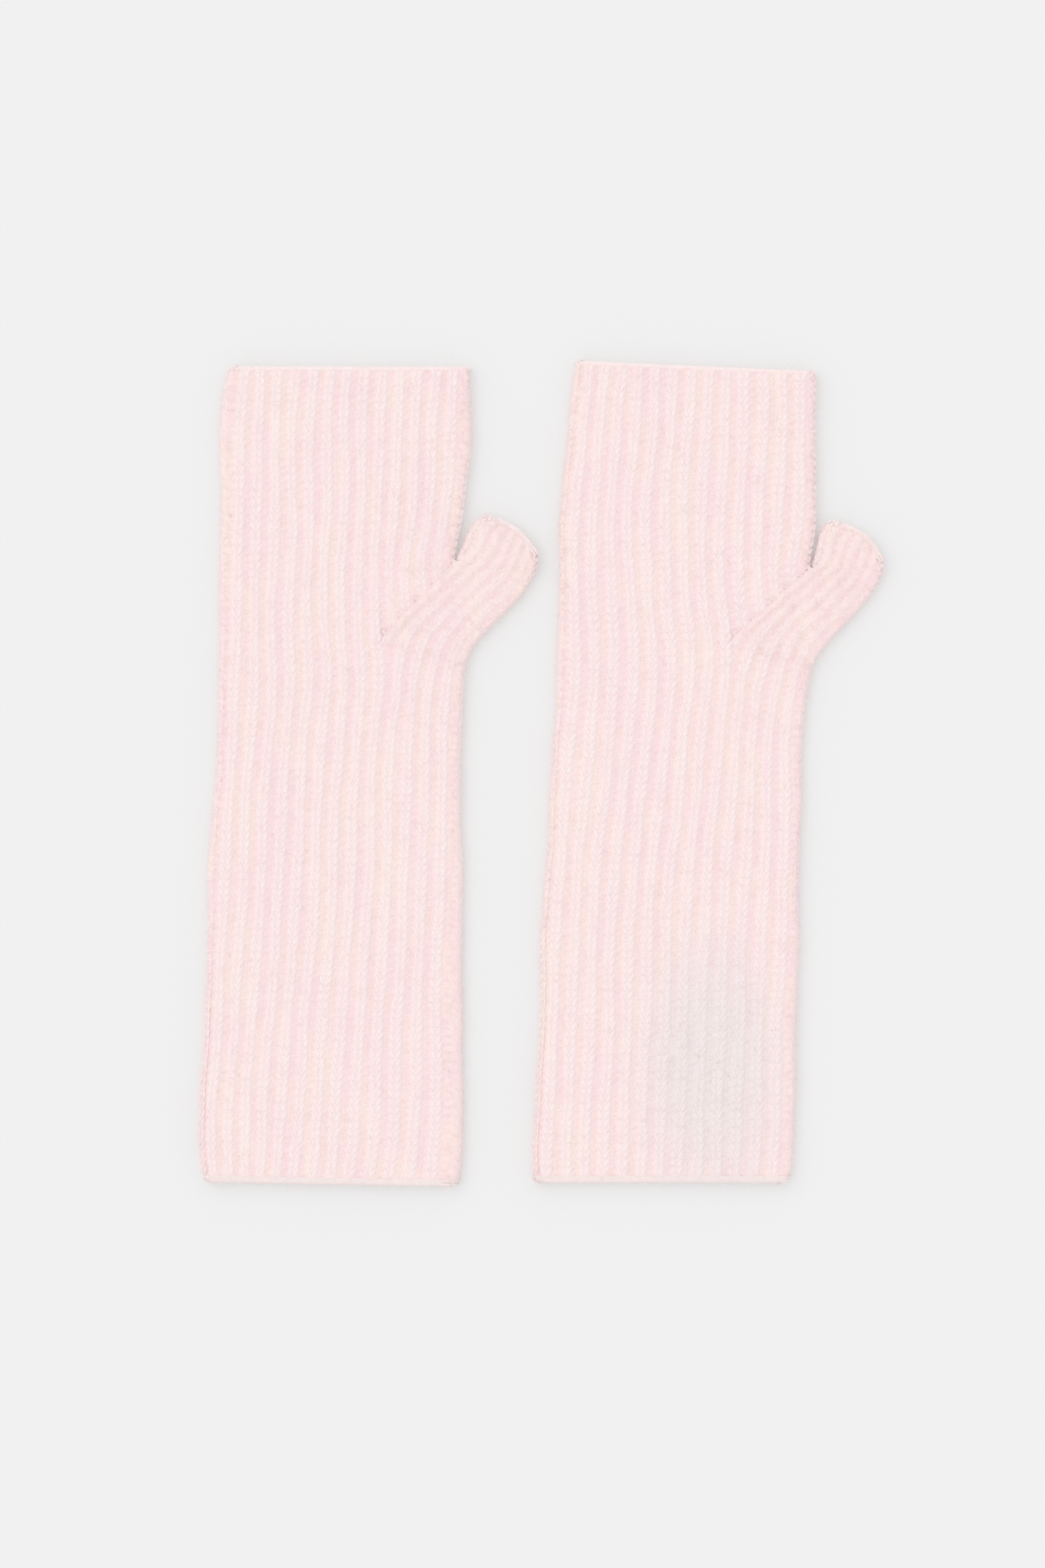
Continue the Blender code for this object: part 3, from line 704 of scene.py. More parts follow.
def bed(name, points, facing, upward, size):  # points that stitches are laid on: facing, up the row, and size
    mesh = bpy.data.meshes.new(name)
    mesh.from_pydata((np.asarray(points) * mm).tolist(), [], [])
    for label, values in (("facing", facing), ("upward", upward), ("size", size)):
        attribute = mesh.attributes.new(label, "FLOAT_VECTOR", "POINT")
        attribute.data.foreach_set("vector", np.asarray(values, float).ravel())
    made = bpy.data.objects.new(name, mesh)
    bpy.context.scene.collection.objects.link(made)
    return made


def startTree(name, sizes, counts=()):  # a tree that works on a bed, with its named inputs
    tree = bpy.data.node_groups.new(name, "GeometryNodeTree")
    face = tree.interface
    face.new_socket("Geometry", in_out="OUTPUT", socket_type="NodeSocketGeometry")
    face.new_socket("Geometry", in_out="INPUT", socket_type="NodeSocketGeometry")
    for label in sizes:
        face.new_socket(label, in_out="INPUT", socket_type="NodeSocketFloat")
    for label in counts:
        face.new_socket(label, in_out="INPUT", socket_type="NodeSocketInt")
    face.new_socket("Wool", in_out="INPUT", socket_type="NodeSocketMaterial")
    return tree, addNode(tree, "NodeGroupInput").outputs


def readBed(tree):  # the bed's sizes, and the turn that its facing and its upward direction give
    facing, upward, size = [
        addNode(tree, "GeometryNodeInputNamedAttribute", {"Name": label}, data_type="FLOAT_VECTOR")
        for label in ("facing", "upward", "size")
    ]
    turned = addNode(tree, "FunctionNodeAxesToRotation", {
        "Primary Axis": facing.outputs[0],
        "Secondary Axis": upward.outputs[0],
    }, primary_axis="Z", secondary_axis="Y")
    return size.outputs[0], turned.outputs[0]


def endTree(tree, given, geometry):
    real = addNode(tree, "GeometryNodeRealizeInstances", {"Geometry": geometry})
    painted = addNode(tree, "GeometryNodeSetMaterial", {
        "Geometry": real.outputs[0],
        "Material": given["Wool"],
    })
    addNode(tree, "NodeGroupOutput", {0: painted.outputs[0]})
    return tree


def stitchTree(name, legs):
    # legs: for each yarn leg, its start, its middle pull and its end as shares of the named sizes
    tree, given = startTree(
        name,
        ("Width", "Row Height", "Arch", "Yarn Radius", "End Share", "Flatness", "Turn", "Size Spread"),
        ("Segments", "Sides", "Seed"),
    )
    scale = addNode(tree, "ShaderNodeCombineXYZ", {
        0: given["Width"],
        1: given["Row Height"],
        2: given["Arch"],
    })
    factor = addNode(tree, "GeometryNodeSplineParameter")
    halfTurn = addNode(tree, "ShaderNodeMath", {
        0: factor.outputs["Factor"],
        1: math.pi,
    }, operation="MULTIPLY")
    hump = addNode(tree, "ShaderNodeMath", {0: halfTurn.outputs[0]}, operation="SINE")
    taper = addNode(tree, "ShaderNodeMapRange", {0: hump.outputs[0], 3: given["End Share"], 4: 1.0})
    radius = addNode(tree, "ShaderNodeMath", {
        0: taper.outputs[0],
        1: given["Yarn Radius"],
    }, operation="MULTIPLY")
    profile = addNode(tree, "GeometryNodeCurvePrimitiveCircle", {"Resolution": given["Sides"], "Radius": 1.0})
    join = addNode(tree, "GeometryNodeJoinGeometry")
    for leg in legs:
        start, middle, end = [
            addNode(tree, "ShaderNodeVectorMath", {0: share, 1: scale.outputs[0]}, operation="MULTIPLY")
            for share in leg
        ]
        curve = addNode(tree, "GeometryNodeCurveQuadraticBezier", {
            "Resolution": given["Segments"],
            "Start": start.outputs[0],
            "Middle": middle.outputs[0],
            "End": end.outputs[0],
        })
        fat = addNode(tree, "GeometryNodeSetCurveRadius", {
            "Curve": curve.outputs[0],
            "Radius": radius.outputs[0],
        })
        tube = addNode(tree, "GeometryNodeCurveToMesh", {
            "Curve": fat.outputs[0],
            "Profile Curve": profile.outputs[0],
            "Scale": radius.outputs[0],
            "Fill Caps": True,
        })
        tree.links.new(tube.outputs[0], join.inputs[0])
    flat = addNode(tree, "ShaderNodeCombineXYZ", {0: 1.0, 1: 1.0, 2: given["Flatness"]})
    stitch = addNode(tree, "GeometryNodeTransform", {"Geometry": join.outputs[0], "Scale": flat.outputs[0]})
    smooth = addNode(tree, "GeometryNodeSetShadeSmooth", {"Geometry": stitch.outputs[0]})
    size, turned = readBed(tree)
    less = addNode(tree, "ShaderNodeMath", {0: 1.0, 1: given["Size Spread"]}, operation="SUBTRACT")
    more = addNode(tree, "ShaderNodeMath", {0: 1.0, 1: given["Size Spread"]}, operation="ADD")
    spread = addNode(tree, "FunctionNodeRandomValue", {
        2: less.outputs[0],
        3: more.outputs[0],
        "Seed": given["Seed"],
    }, data_type="FLOAT")
    sized = addNode(tree, "ShaderNodeVectorMath", {0: size, "Scale": spread.outputs[1]}, operation="SCALE")
    laid = addNode(tree, "GeometryNodeInstanceOnPoints", {
        "Points": given["Geometry"],
        "Instance": smooth.outputs[0],
        "Rotation": turned,
        "Scale": sized.outputs[0],
    })
    back = addNode(tree, "ShaderNodeMath", {0: given["Turn"], 1: -1.0}, operation="MULTIPLY")
    turnSeed = addNode(tree, "ShaderNodeMath", {0: given["Seed"], 1: 7.0}, operation="ADD")
    wobble = addNode(tree, "FunctionNodeRandomValue", {"Seed": turnSeed.outputs[0]}, data_type="FLOAT_VECTOR")
    tree.links.new(back.outputs[0], wobble.inputs[0])
    tree.links.new(given["Turn"], wobble.inputs[1])
    rotated = addNode(tree, "GeometryNodeRotateInstances", {
        "Instances": laid.outputs[0],
        "Rotation": wobble.outputs[0],
    })
    shadeSeed = addNode(tree, "ShaderNodeMath", {0: given["Seed"], 1: 13.0}, operation="ADD")
    shade = addNode(tree, "FunctionNodeRandomValue", {
        2: 0.0,
        3: 1.0,
        "Seed": shadeSeed.outputs[0],
    }, data_type="FLOAT")
    shaded = addNode(tree, "GeometryNodeStoreNamedAttribute", {
        "Geometry": rotated.outputs[0],
        "Name": "shade",
        "Value": shade.outputs[1],
    }, data_type="FLOAT", domain="INSTANCE")
    return endTree(tree, given, shaded.outputs[0])


def fibreTree():  # a loose fibre: a thin bent cone that stands out from its point
    tree, given = startTree("looseFibre", ("Length", "Thickness", "Bend"))
    cone = addNode(tree, "GeometryNodeMeshCone", {
        "Vertices": 3,
        "Side Segments": 2,
        "Fill Segments": 1,
        "Radius Top": 0.0,
        "Radius Bottom": given["Thickness"],
        "Depth": given["Length"],
    })
    here = addNode(tree, "GeometryNodeInputPosition")
    parts = addNode(tree, "ShaderNodeSeparateXYZ", {0: here.outputs[0]})
    along = addNode(tree, "ShaderNodeMath", {0: parts.outputs[2], 1: given["Length"]}, operation="DIVIDE")
    squared = addNode(tree, "ShaderNodeMath", {0: along.outputs[0], 1: 2.0}, operation="POWER")
    push = addNode(tree, "ShaderNodeMath", {0: squared.outputs[0], 1: given["Bend"]}, operation="MULTIPLY")
    shift = addNode(tree, "ShaderNodeCombineXYZ", {0: push.outputs[0]})
    bent = addNode(tree, "GeometryNodeSetPosition", {"Geometry": cone.outputs[0], "Offset": shift.outputs[0]})
    size, turned = readBed(tree)
    laid = addNode(tree, "GeometryNodeInstanceOnPoints", {
        "Points": given["Geometry"],
        "Instance": bent.outputs[0],
        "Rotation": turned,
        "Scale": size,
    })
    return endTree(tree, given, laid.outputs[0])


def lay(name, bedObject, tree, values, material):  # runs a tree on its bed and keeps the result as plain mesh
    modifier = bedObject.modifiers.new("stitches", "NODES")
    modifier.node_group = tree
    for item in tree.interface.items_tree:
        if item.in_out == "INPUT" and item.name in values:
            modifier[item.identifier] = values[item.name]
        if item.in_out == "INPUT" and item.name == "Wool":
            modifier[item.identifier] = material
    graph = bpy.context.evaluated_depsgraph_get()
    mesh = bpy.data.meshes.new_from_object(bedObject.evaluated_get(graph), depsgraph=graph)
    mesh.name = name
    mesh.set_sharp_from_angle(angle=math.radians(creaseDegrees))
    made = bpy.data.objects.new(name, mesh)
    bpy.context.scene.collection.objects.link(made)
    bedMesh = bedObject.data
    bpy.data.objects.remove(bedObject)
    bpy.data.meshes.remove(bedMesh)
    return made


# A knit stitch is a V of two legs that start at its foot and lean out. A purl bump is one low arch across.
knitTree = stitchTree("knitStitch", [
    [(0.04, -0.70, -0.5), (0.22, 0.0, 1.0), (0.37, 0.66, -0.42)],
    [(-0.04, -0.70, -0.5), (-0.22, 0.0, 1.0), (-0.37, 0.66, -0.42)],
])
purlTree = stitchTree("purlBump", [[(-0.5, -0.12, -0.4), (0.0, 0.22, 0.6), (0.5, -0.12, -0.4)]])
chainTree = stitchTree("edgeChain", [
    [(0.05, -0.62, -0.3), (0.42, -0.1, 0.9), (0.22, 0.66, -0.2)],
    [(-0.05, -0.62, -0.3), (-0.42, -0.1, 0.9), (-0.22, 0.66, -0.2)],
])
knitStitch = {
    "Width": 5.0 * mm,
    "Row Height": 3.1 * mm,
    "Arch": 0.85 * mm,
    "Yarn Radius": 0.96 * mm,
    "End Share": 0.45,  # how thick the yarn still is where it dives under, as a share
    "Flatness": 0.78,
    "Turn": 0.045,  # the most that a stitch is turned out of line, in radians
    "Size Spread": 0.06,
    "Segments": 4,
    "Sides": 5,
}
backStitch = dict(knitStitch, Arch=0.6 * mm, Flatness=0.5, Segments=3, Sides=4)  # pressed flat by the table
purlBump = {
    "Width": 3.8 * mm,
    "Row Height": 3.0 * mm,
    "Arch": 0.4 * mm,
    "Yarn Radius": 0.85 * mm,
    "End Share": 0.85,
    "Flatness": 0.5,
    "Turn": 0.08,
    "Size Spread": 0.1,
    "Segments": 3,
    "Sides": 4,
}
edgeChain = {
    "Width": 1.7 * mm,
    "Row Height": 3.4 * mm,
    "Arch": 0.5 * mm,
    "Yarn Radius": 0.5 * mm,
    "End Share": 0.5,
    "Flatness": 0.7,
    "Turn": 0.08,
    "Size Spread": 0.06,
    "Segments": 4,
    "Sides": 5,
    "Seed": 41,
}
looseFibre = {"Length": 3.2 * mm, "Thickness": 0.07 * mm, "Bend": 1.2 * mm}  # real fibres are about 0.03 mm
seeds = {"Body": (11, 31, 23), "Thumb": (61, 67, 71)}  # for the knit stitches, the bumps and the underside


def gridOf(mitt, rows, around):  # points and facings for many rows at once
    made = [section(mitt, row, around) for row in rows]
    return np.array([m[0] for m in made]), np.array([m[1] for m in made])


def rowsOf(mitt, stretch, count, first=0.0, last=1.0):
    shares = np.linspace(first, last, count)
    if stretch == "thumb":
        return [thumbRow(mitt, share) for share in shares]
    return [bodyRow(mitt, stretch, share) for share in shares]


def stitchLine(points, facing, widths, offset, fromTop=False, lift=0.0, spacing=cloth["rowHeight"]):
    # Evenly spaced places along one rib, with the cloth's facing and the rib's direction there.
    steps = np.linalg.norm(np.diff(points, axis=0), axis=1)
    places = np.concatenate([[0.0], np.cumsum(steps)])
    count = max(int(round(places[-1] / spacing)), 1)
    pitch = spacing if fromTop else places[-1] / count
    at = (np.arange(count) + offset) * pitch
    at = at[at <= places[-1]]
    if fromTop:
        at = places[-1] - (np.arange(count) + 1 - offset) * pitch
        at = at[at > 0.3 * spacing][::-1]

    def along(values, at):
        return np.column_stack([np.interp(at, places, values[:, k]) for k in range(3)])

    face = unit(along(facing, at))
    step = 0.8
    run = unit(along(points, at + step) - along(points, at - step))
    width = np.interp(at, places, widths)
    lift = np.interp(at, places, np.full(len(places), 1.0) * lift)[:, None]
    size = np.column_stack([width, np.full(len(at), pitch / cloth["rowHeight"]), np.minimum(width, 1.0)])
    return [along(points, at) + face * lift, face, run, size]


def gather(name, lines):
    return bed(name, *[np.concatenate([line[k] for line in lines]) for k in range(4)])


crowding = {"least": 0.45, "most": 1.05, "power": 1.3}  # how stitches narrow on a narrow rib
lifts = {"knit": -0.5, "purl": 0.14, "under": -0.42}  # how far each kind lies off the cloth's relief
foldStitch = {"turn": 0.33, "width": 0.62, "lift": -0.6}  # turn: how far round the fold


def ribWidths(grid, column, beside):  # how wide the stitches of a rib are, from its width square to its run
    run = unit(np.gradient(grid[:, column], axis=0))
    across = grid[:, beside] - grid[:, column]
    across = across - run * (across * run).sum(axis=1, keepdims=True)
    share = np.linalg.norm(across, axis=1) * 2 / cloth["ribPitch"]
    return np.clip(share, crowding["least"], crowding["most"]) ** crowding["power"]


def linesFor(mitt, ribs, stretches, kind):
    # One line of stitches along each rib, or along each valley for purl. stretches: rows, the first and the
    # last rib that they hold, and whether the stitches are counted from the top.
    onRibs, under = kind != "purl", kind == "under"
    lines = []
    for rows, low, high, fromTop in stretches:
        places = np.arange(0, ribs + 1) + (0.5 if onRibs else 0.0)
        places = places[(places >= low) & (places <= high) & (places <= ribs)]
        around = np.concatenate([places, places + 0.5]) if onRibs else places
        grid, facing = gridOf(mitt, rows, 2 * ribs + 1 - around if under else around)
        if under:
            raised = np.full((len(rows), len(places)), cloth["underRib"])
        else:
            relief = np.array([row["relief"](places) for row in rows])
            raised = cloth["ribHeight"] * relief * (1.0 if onRibs else cloth["valleyShare"])
        for k in range(len(places)):
            widths = ribWidths(grid, k, k + len(places)) if onRibs else np.full(len(rows), 1.0)
            offset = 0.5 if onRibs else 1.0
            lift = raised[:, k] + lifts[kind]
            lines.append(stitchLine(grid[:, k], facing[:, k], widths, offset, fromTop, lift))
    return lines


def foldLine(mitt, ribs, rows, side, fromTop=False):  # the half rib of stitches that turns round a side fold
    turn = foldStitch["turn"]
    around = np.array([ribs + turn if side == "right" else 2 * ribs + 2 - turn])
    grid, facing = gridOf(mitt, rows, around)
    widths = np.full(len(rows), foldStitch["width"])
    return stitchLine(grid[:, 0], facing[:, 0], widths, 0.5, fromTop, foldStitch["lift"])


def layStitches(mitt, part, knit, purl, back):
    made = []
    kinds = [
        ("Stitches", knit, knitTree, knitStitch, litStitchWool),
        ("Purl", purl, purlTree, purlBump, shadedPurlWool),
        ("UnderStitches", back, knitTree, backStitch, litStitchWool),
    ]
    for (label, lines, tree, stitch, material), seed in zip(kinds, seeds[part]):
        name = mitt["side"] + part + label
        made.append(lay(name, gather(name + "Bed", lines), tree, dict(stitch, Seed=seed), material))
    return made


def stations(ribs, onTop=6, onUnder=4, onFold=10):  # places round a tube, so many to a rib and to a fold
    return np.concatenate([
        np.arange(0, ribs * onTop + 1) / onTop,
        ribs + np.arange(1, onFold) / onFold,
        ribs + 1 + np.arange(0, ribs * onUnder + 1) / onUnder,
        2 * ribs + 1 + np.arange(1, onFold) / onFold,
    ])


def addSheet(piece, node, pieces):
    for each in [piece] + pieces:
        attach(each, "root")
    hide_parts(node)


bodyRows = {  # millimetres from the cast-on and the bound-off edge; rows stand closer at the rounded corners
    "armCorner": (2.6, 5.4, 4),  # the first, the last, and how many
    "armFrom": 8.0,
    "handTo": 6.0,
    "handCorner": (4.2, 1.5, 3),
    "stitchesFrom": 2.9,
    "stitchesTo": 1.6,
    "armCount": 44,
    "handCount": 25,
    "armStitchCount": 90,  # the rows that the lines of stitches are read from
    "handStitchCount": 50,
}


def makeBody(mitt):
    armLong, handLong = cloth["armLong"], cloth["handLong"]
    around = stations(bodyRibs)
    armShares = np.concatenate([
        np.linspace(*bodyRows["armCorner"]) / armLong,
        np.linspace(bodyRows["armFrom"] / armLong, 1.0, bodyRows["armCount"]),
    ])
    handShares = np.concatenate([
        np.linspace(0.0, 1 - bodyRows["handTo"] / handLong, bodyRows["handCount"]),
        1 - np.linspace(*bodyRows["handCorner"]) / handLong,
    ])
    rows = [bodyRow(mitt, "arm", s) for s in armShares] + [bodyRow(mitt, "hand", s) for s in handShares]
    rings = [shellRing(mitt, row, around) for row in rows]
    splitRow = len(armShares) - 1
    splitFrom = int(np.searchsorted(around, splitRib))
    splitTo = int(np.searchsorted(around, 2 * bodyRibs + 1 - splitRib))

    def isCloth(row, column):  # the arm is open towards the thumb
        return row != splitRow or not splitFrom <= column < splitTo

    shell = clothMesh(mitt["side"] + "BodyCloth", rings, isCloth, shadedClothWool)
    arm = rowsOf(mitt, "arm", bodyRows["armStitchCount"], bodyRows["stitchesFrom"] / armLong, 1.0)
    hand = rowsOf(mitt, "hand", bodyRows["handStitchCount"], 0.0, 1 - bodyRows["stitchesTo"] / handLong)
    whole = arm + hand[1:]  # the ribs left of the thumb run on into the hand
    firstRight = splitRib + 0.01
    stretches = [
        (whole, 0, splitRib, False),
        (arm, firstRight, bodyRibs, False),
        (hand, firstRight, bodyRibs, False),
    ]
    knit = linesFor(mitt, bodyRibs, stretches, "knit")
    knit.append(foldLine(mitt, bodyRibs, whole, "left"))
    knit += [foldLine(mitt, bodyRibs, rows, "right") for rows in (arm, hand)]
    purl = linesFor(mitt, bodyRibs, stretches, "purl")
    back = linesFor(mitt, bodyRibs, stretches, "under")
    return shell, layStitches(mitt, "Body", knit, purl, back)


# The share of the seam at which the picked-up stitches start, and how high, wide and far apart they lie.
pickUp = {"from": 0.03, "points": 12, "lift": 0.35, "width": 0.8, "spacing": 2.2}


def pickUpLine(mitt):  # the stitches picked up along the diagonal between the thumb and the hand
    shares = np.linspace(pickUp["from"], 1.0, pickUp["points"])
    flat = mix(splitPoint(mitt), np.array(mitt["crotch"]), shares[:, None])
    height = cloth["valley"] + riseAt(mitt, flat) + pickUp["lift"]
    points = wander(mitt, np.column_stack([flat, height]))
    facing = np.tile([0.0, 0.0, 1.0], (pickUp["points"], 1))
    widths = np.full(pickUp["points"], pickUp["width"])
    return stitchLine(points, facing, widths, 0.5, spacing=pickUp["spacing"])


thumbRows = {  # shares of the way from the thumb's root to its mouth
    "seamTo": 0.985,  # share of the seam with the hand
    "tubeTo": 0.88,
    "mouthFrom": 0.9,
    "mouthTo": 0.965,
    "stitchesFrom": 1.02,  # share of the root
    "bandShare": 0.035,
    "seamCount": 10,
    "tubeCount": 7,
    "mouthCount": 4,
    "stitchCount": 60,
    "tubeStitchCount": 30,
}


def makeThumb(mitt):
    around = stations(thumbRibs)
    rootShare = thumbRootShare(mitt)
    ways = np.concatenate([
        np.linspace(0.0, rootShare * thumbRows["seamTo"], thumbRows["seamCount"]),
        np.linspace(rootShare, thumbRows["tubeTo"], thumbRows["tubeCount"]),
        np.linspace(thumbRows["mouthFrom"], thumbRows["mouthTo"], thumbRows["mouthCount"]),
    ])
    rings = [shellRing(mitt, thumbRow(mitt, way), around) for way in ways]
    leftFoldFrom = int(np.searchsorted(around, 2 * thumbRibs + 1))

    def isCloth(row, column):  # along the hand's seam the thumb has no inner fold
        return row >= thumbRows["seamCount"] or column < leftFoldFrom

    shell = clothMesh(mitt["side"] + "ThumbCloth", rings, isCloth, shadedClothWool)
    tubeFrom, mouth = rootShare * thumbRows["stitchesFrom"], thumbRows["mouthTo"]
    whole = rowsOf(mitt, "thumb", thumbRows["stitchCount"], 0.0, mouth)
    tube = rowsOf(mitt, "thumb", thumbRows["tubeStitchCount"], tubeFrom, mouth)
    stretches = [(whole, 0, thumbRibs, False)]
    knit = linesFor(mitt, thumbRibs, stretches, "knit")
    knit.append(foldLine(mitt, thumbRibs, whole, "right"))
    knit.append(foldLine(mitt, thumbRibs, tube, "left", fromTop=True))
    purl = linesFor(mitt, thumbRibs, [(whole, 1, thumbRibs, False), (tube, 0, 0.5, True)], "purl")
    purl.append(pickUpLine(mitt))
    back = linesFor(mitt, thumbRibs, stretches, "under")
    return shell, layStitches(mitt, "Thumb", knit, purl, back)


bands = {  # widths in millimetres, and how far the roll of each stands proud
    "castOn": {"wide": 2.7, "proud": 0.95, "node": "cast_on_edge", "wool": castOnWool},
    "handBindOff": {"wide": 1.6, "proud": 0.6, "node": "hand_bind_off", "wool": bindOffWool},
    "thumbBindOff": {"wide": 2.2, "proud": 0.6, "node": "thumb_bind_off", "wool": bindOffWool},
    "underShare": 0.75,  # the roll's height on the underside and in the folds, as shares of that on top
    "foldShare": 0.4,
    "inward": 0.2,  # how much the roll sinks towards the ribs
    "least": 0.05,
    "rows": 7,
    "perRib": 3,
    "perFold": 8,
}
loops = {  # the chain of loops along each band, sizes in millimetres
    "bandWide": 2.2,  # a band this wide has loops of the full size
    "lift": 0.45,  # share of the roll
    "spacing": 3.4,
    "placesPerRib": 12,
    "foldLong": 0.4,  # loops round the folds are smaller
    "foldHigh": 0.6,
    "upright": 0.97,  # the band counts as folded where it faces less upright than this
    "lowest": 1.1,  # none of them reaches below the table's top
}


def makeBand(mitt, kind):
    band = bands[kind]
    steps = np.linspace(0, 1, bands["rows"])
    if kind == "castOn":
        rows = [bodyRow(mitt, "arm", band["wide"] / cloth["armLong"] * s) for s in steps]
    elif kind == "handBindOff":
        rows = [bodyRow(mitt, "hand", 1 - band["wide"] / cloth["handLong"] * (1 - s)) for s in steps]
    else:
        rows = [thumbRow(mitt, 1 - thumbRows["bandShare"] * (1 - s)) for s in steps]
    ribs = rows[0]["ribs"]
    fromEdge = steps if kind == "castOn" else 1 - steps
    sinking = 1 - bands["inward"] * fromEdge ** 2
    roll = band["proud"] * np.sqrt(1 - (1 - fromEdge) ** 2) * sinking + bands["least"]
    around = stations(ribs, bands["perRib"], bands["perRib"], bands["perFold"])
    rings = [shellRing(mitt, row, around, swell) for row, swell in zip(rows, roll)]
    name = mitt["side"] + kind[0].upper() + kind[1:]
    shell = clothMesh(name, rings, lambda row, column: True, band["wool"])
    allRound = 2 * ribs + 2
    chainAround = np.linspace(0, allRound, allRound * loops["placesPerRib"], endpoint=False)
    points, facing = section(mitt, rows[len(rows) // 2], chainAround)
    points, facing = np.vstack([points, points[:1]]), np.vstack([facing, facing[:1]])
    widths = np.full(len(points), band["wide"] / loops["bandWide"])
    line = stitchLine(points, facing, widths, 0.5, False, band["proud"] * loops["lift"], loops["spacing"])
    spots, face, _, size = line
    size[:, 1:] *= np.where(abs(face[:, 2:]) > loops["upright"], 1.0, [loops["foldLong"], loops["foldHigh"]])
    spots[:, 2] = np.maximum(spots[:, 2], loops["lowest"])
    chain = lay(name + "Loops", gather(name + "Bed", [line]), chainTree, edgeChain, band["wool"])
    return shell, [chain]


fuzz = {
    "count": 13000,
    "seeds": {"left": 7, "right": 8},
    "stretches": {"arm": 0.58, "hand": 0.30, "thumb": 0.12},
    "topShare": 0.55,  # of the fibres; the rest stand in the two folds
    "foldShare": 0.225,
    "foldReach": (0.02, 0.54),  # how far round a fold they stand
    "rows": 60,
    "strayAlong": 0.9,  # millimetres
    "strayAside": 0.2,  # at the folds, as a share of that
    "rootHeight": 0.25,
    "upright": 0.7,  # how much a fibre follows the cloth's facing, against a random lean
    "lean": 0.8,
    "leastUp": 0.1,
    "lengths": (0.5, 1.3),  # shares of the fibre's length, shorter again at the folds
    "foldLength": 0.45,
}


def makeFuzz(mitt):
    rng = np.random.default_rng(fuzz["seeds"][mitt["side"]])
    lines = []
    for stretch, share in fuzz["stretches"].items():
        rows = rowsOf(mitt, stretch, fuzz["rows"])
        ribs = rows[0]["ribs"]
        onTop = rng.uniform(0, ribs, int(fuzz["count"] * share * fuzz["topShare"]))
        perFold = int(fuzz["count"] * share * fuzz["foldShare"])
        onRight = ribs + rng.uniform(*fuzz["foldReach"], perFold)
        onLeft = 2 * ribs + 2 - rng.uniform(*fuzz["foldReach"], perFold)
        around = np.concatenate([onTop, onRight, onLeft])
        rowIndex = rng.integers(0, len(rows), len(around))
        for k, row in enumerate(rows):
            chosen = around[rowIndex == k]
            if stretch == "thumb" and k < len(rows) * thumbRootShare(mitt):
                chosen = chosen[chosen < 2 * ribs + 1]
            points, facing = section(mitt, row, chosen)
            folded = chosen > ribs
            aside = np.where(folded, fuzz["strayAside"], 1.0)
            stray = rng.normal(0, fuzz["strayAlong"], points.shape)
            points = points + stray * np.column_stack([aside, np.ones(len(aside)), np.zeros(len(aside))])
            relief = np.where(folded, 0.0, ribRelief(chosen) * cloth["ribHeight"])
            points = points + facing * (relief + fuzz["rootHeight"])[:, None]
            lean = unit(facing * fuzz["upright"] + rng.normal(0, fuzz["lean"], facing.shape))
            lean[:, 2] = np.maximum(lean[:, 2], fuzz["leastUp"])
            upward = unit(rng.normal(0, 1, facing.shape))
            length = rng.uniform(*fuzz["lengths"], len(chosen)) * np.where(folded, fuzz["foldLength"], 1.0)
            size = np.column_stack([np.ones(len(chosen)), np.ones(len(chosen)), length])
            lines.append([points, lean, upward, size])
    return lay(mitt["side"] + "Fuzz", gather("fuzzBed", lines), fibreTree(), looseFibre, fibreWool)


def triangles(pieces):
    return sum(len(face.vertices) - 2 for piece in pieces for face in piece.data.polygons)


for mitt in (leftMitt, rightMitt):
    side = mitt["side"]
    bodyShell, bodyPieces = makeBody(mitt)
    print(side, "body knitted", triangles([bodyShell]), [triangles([piece]) for piece in bodyPieces])
    thumbShell, thumbPieces = makeThumb(mitt)
    print(side, "thumb knitted", triangles([thumbShell]), [triangles([piece]) for piece in thumbPieces])
    fuzzPiece = makeFuzz(mitt)
    print(side, "fuzz", triangles([fuzzPiece]))
    addSheet(bodyShell, f"{side}_body",
             bodyPieces + [fuzzPiece])
    addSheet(thumbShell, f"{side}_thumb",
             thumbPieces)
    for kind in ("castOn", "handBindOff", "thumbBindOff"):
        node = bands[kind]["node"]
        band, chains = makeBand(mitt, kind)
        for each in [band] + chains:
            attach(each, "root")
        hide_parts(f"{side}_{node}")
        print(side, kind, triangles([band]), [triangles([piece]) for piece in chains])

studio = {
    "floor": 0.55,  # share of the light that the table gives back, and the light it gives from below
    "floorGlow": 0.275,
    "floorHalf": 3.0,
    "sky": 0.91,
    "key": 0.665,
    "keySoftness": 60.0,
    "keyLean": 26.0,  # degrees from straight above
    "keyFrom": (-0.9, 0.45),  # from the upper left
}

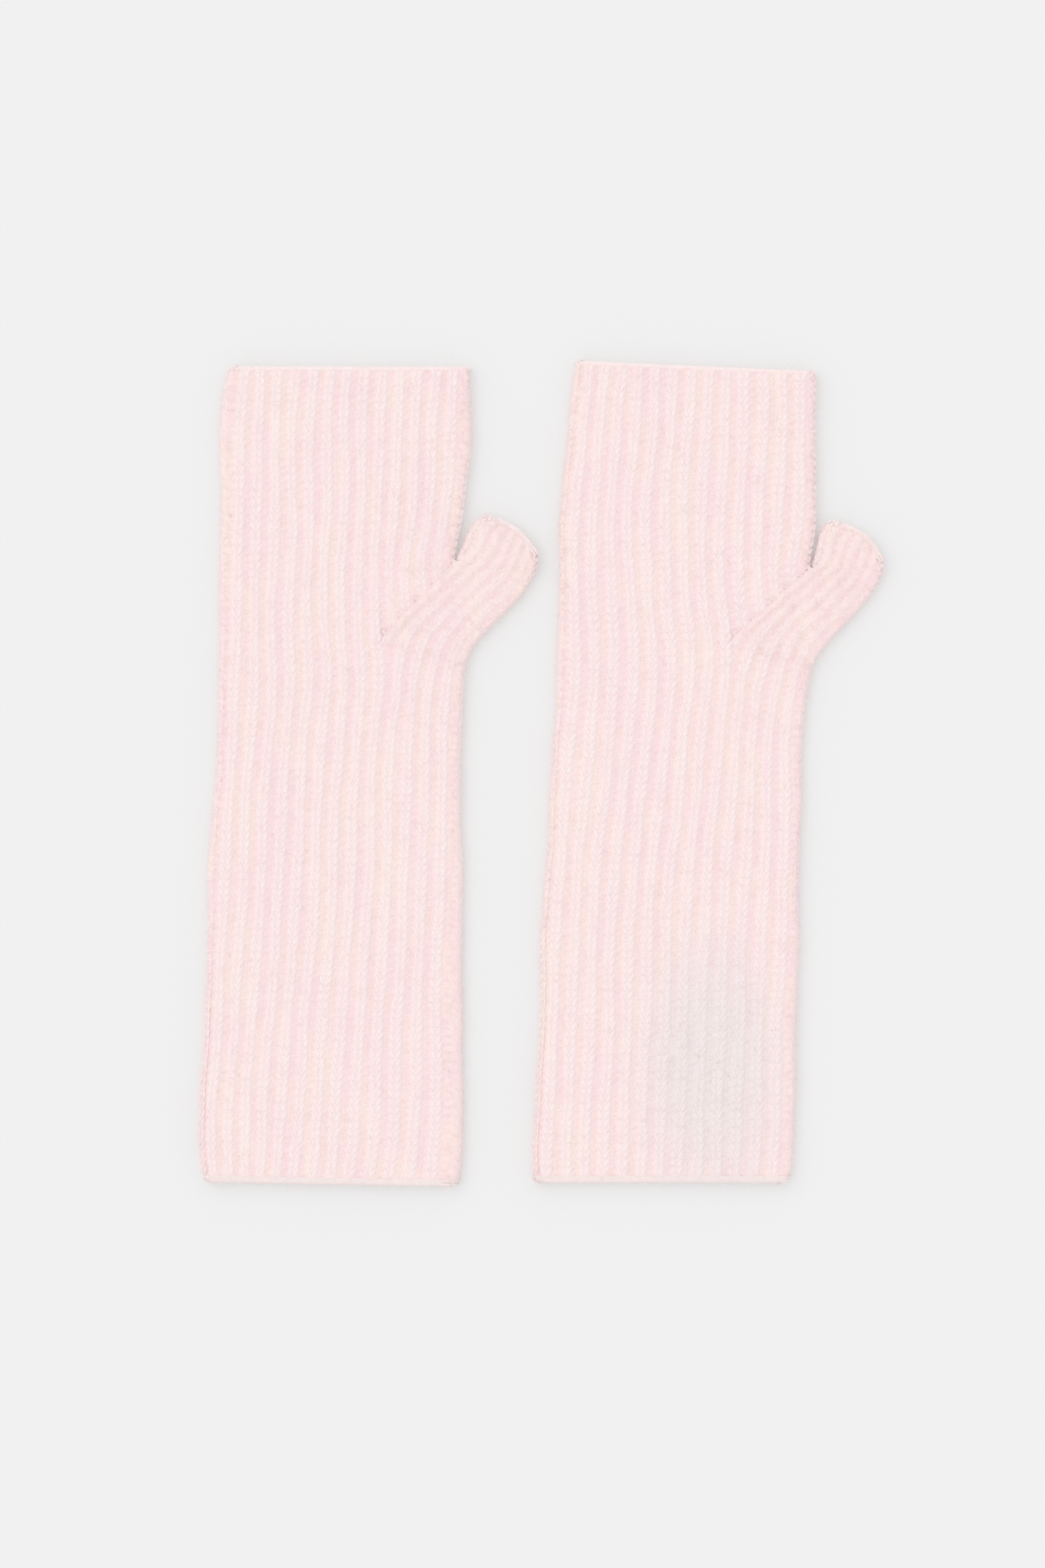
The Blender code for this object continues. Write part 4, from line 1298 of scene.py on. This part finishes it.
half = studio["floorHalf"]
corners = [(-half, -half, 0), (half, -half, 0), (half, half, 0), (-half, half, 0)]
floorMesh = bpy.data.meshes.new("paperFloor")
floorMesh.from_pydata(corners, [], [(0, 1, 2, 3)])
floor = bpy.data.objects.new("paperFloor", floorMesh)
bpy.context.scene.collection.objects.link(floor)
paper = bpy.data.materials.new("mattPaper")  # thin paper on a table lit from below, so its shadows are faint
paper.use_nodes = True
paperShader = paper.node_tree.nodes["Principled BSDF"]
paperShader.inputs["Base Color"].default_value = (studio["floor"], studio["floor"], studio["floor"], 1)
paperShader.inputs["Roughness"].default_value = 1.0
paperShader.inputs["Specular IOR Level"].default_value = 0.0
paperShader.inputs["Emission Color"].default_value = (1, 1, 1, 1)
paperShader.inputs["Emission Strength"].default_value = studio["floorGlow"]
floorMesh.materials.append(paper)

world = bpy.data.worlds.new("softSky")
bpy.context.scene.world = world
world.use_nodes = True
world.node_tree.nodes["Background"].inputs["Color"].default_value = (1, 1, 1, 1)
world.node_tree.nodes["Background"].inputs["Strength"].default_value = studio["sky"]

key = bpy.data.lights.new("softKey", "SUN")
key.energy = studio["key"]
key.angle = math.radians(studio["keySoftness"])
keyObject = bpy.data.objects.new("softKey", key)
lean = math.radians(studio["keyLean"])
across, along = studio["keyFrom"]
keyObject.rotation_euler = (
    math.atan2(-along * math.sin(lean), math.cos(lean)),
    math.atan2(across * math.sin(lean), math.cos(lean)),
    0,
)
bpy.context.scene.collection.objects.link(keyObject)

lens = {  # looks straight down; the middle of the picture is this far across and along from the pair's middle
    "focal": 100.0,
    "sensor": 36.0,
    "frameHigh": 576.3,
    "across": -6.6,
    "along": -4.35,
    "focusHeight": 4.5,
}
camera = bpy.data.cameras.new("overheadCamera")
camera.lens = lens["focal"]
camera.sensor_width = lens["sensor"]
cameraObject = bpy.data.objects.new("overheadCamera", camera)
cameraHigh = lens["frameHigh"] * lens["focal"] / lens["sensor"] + lens["focusHeight"]
cameraObject.location = (lens["across"] * mm, lens["along"] * mm, cameraHigh * mm)
bpy.context.scene.collection.objects.link(cameraObject)
bpy.context.scene.camera = cameraObject
bpy.context.scene.view_settings.view_transform = "Standard"
print("studio set")
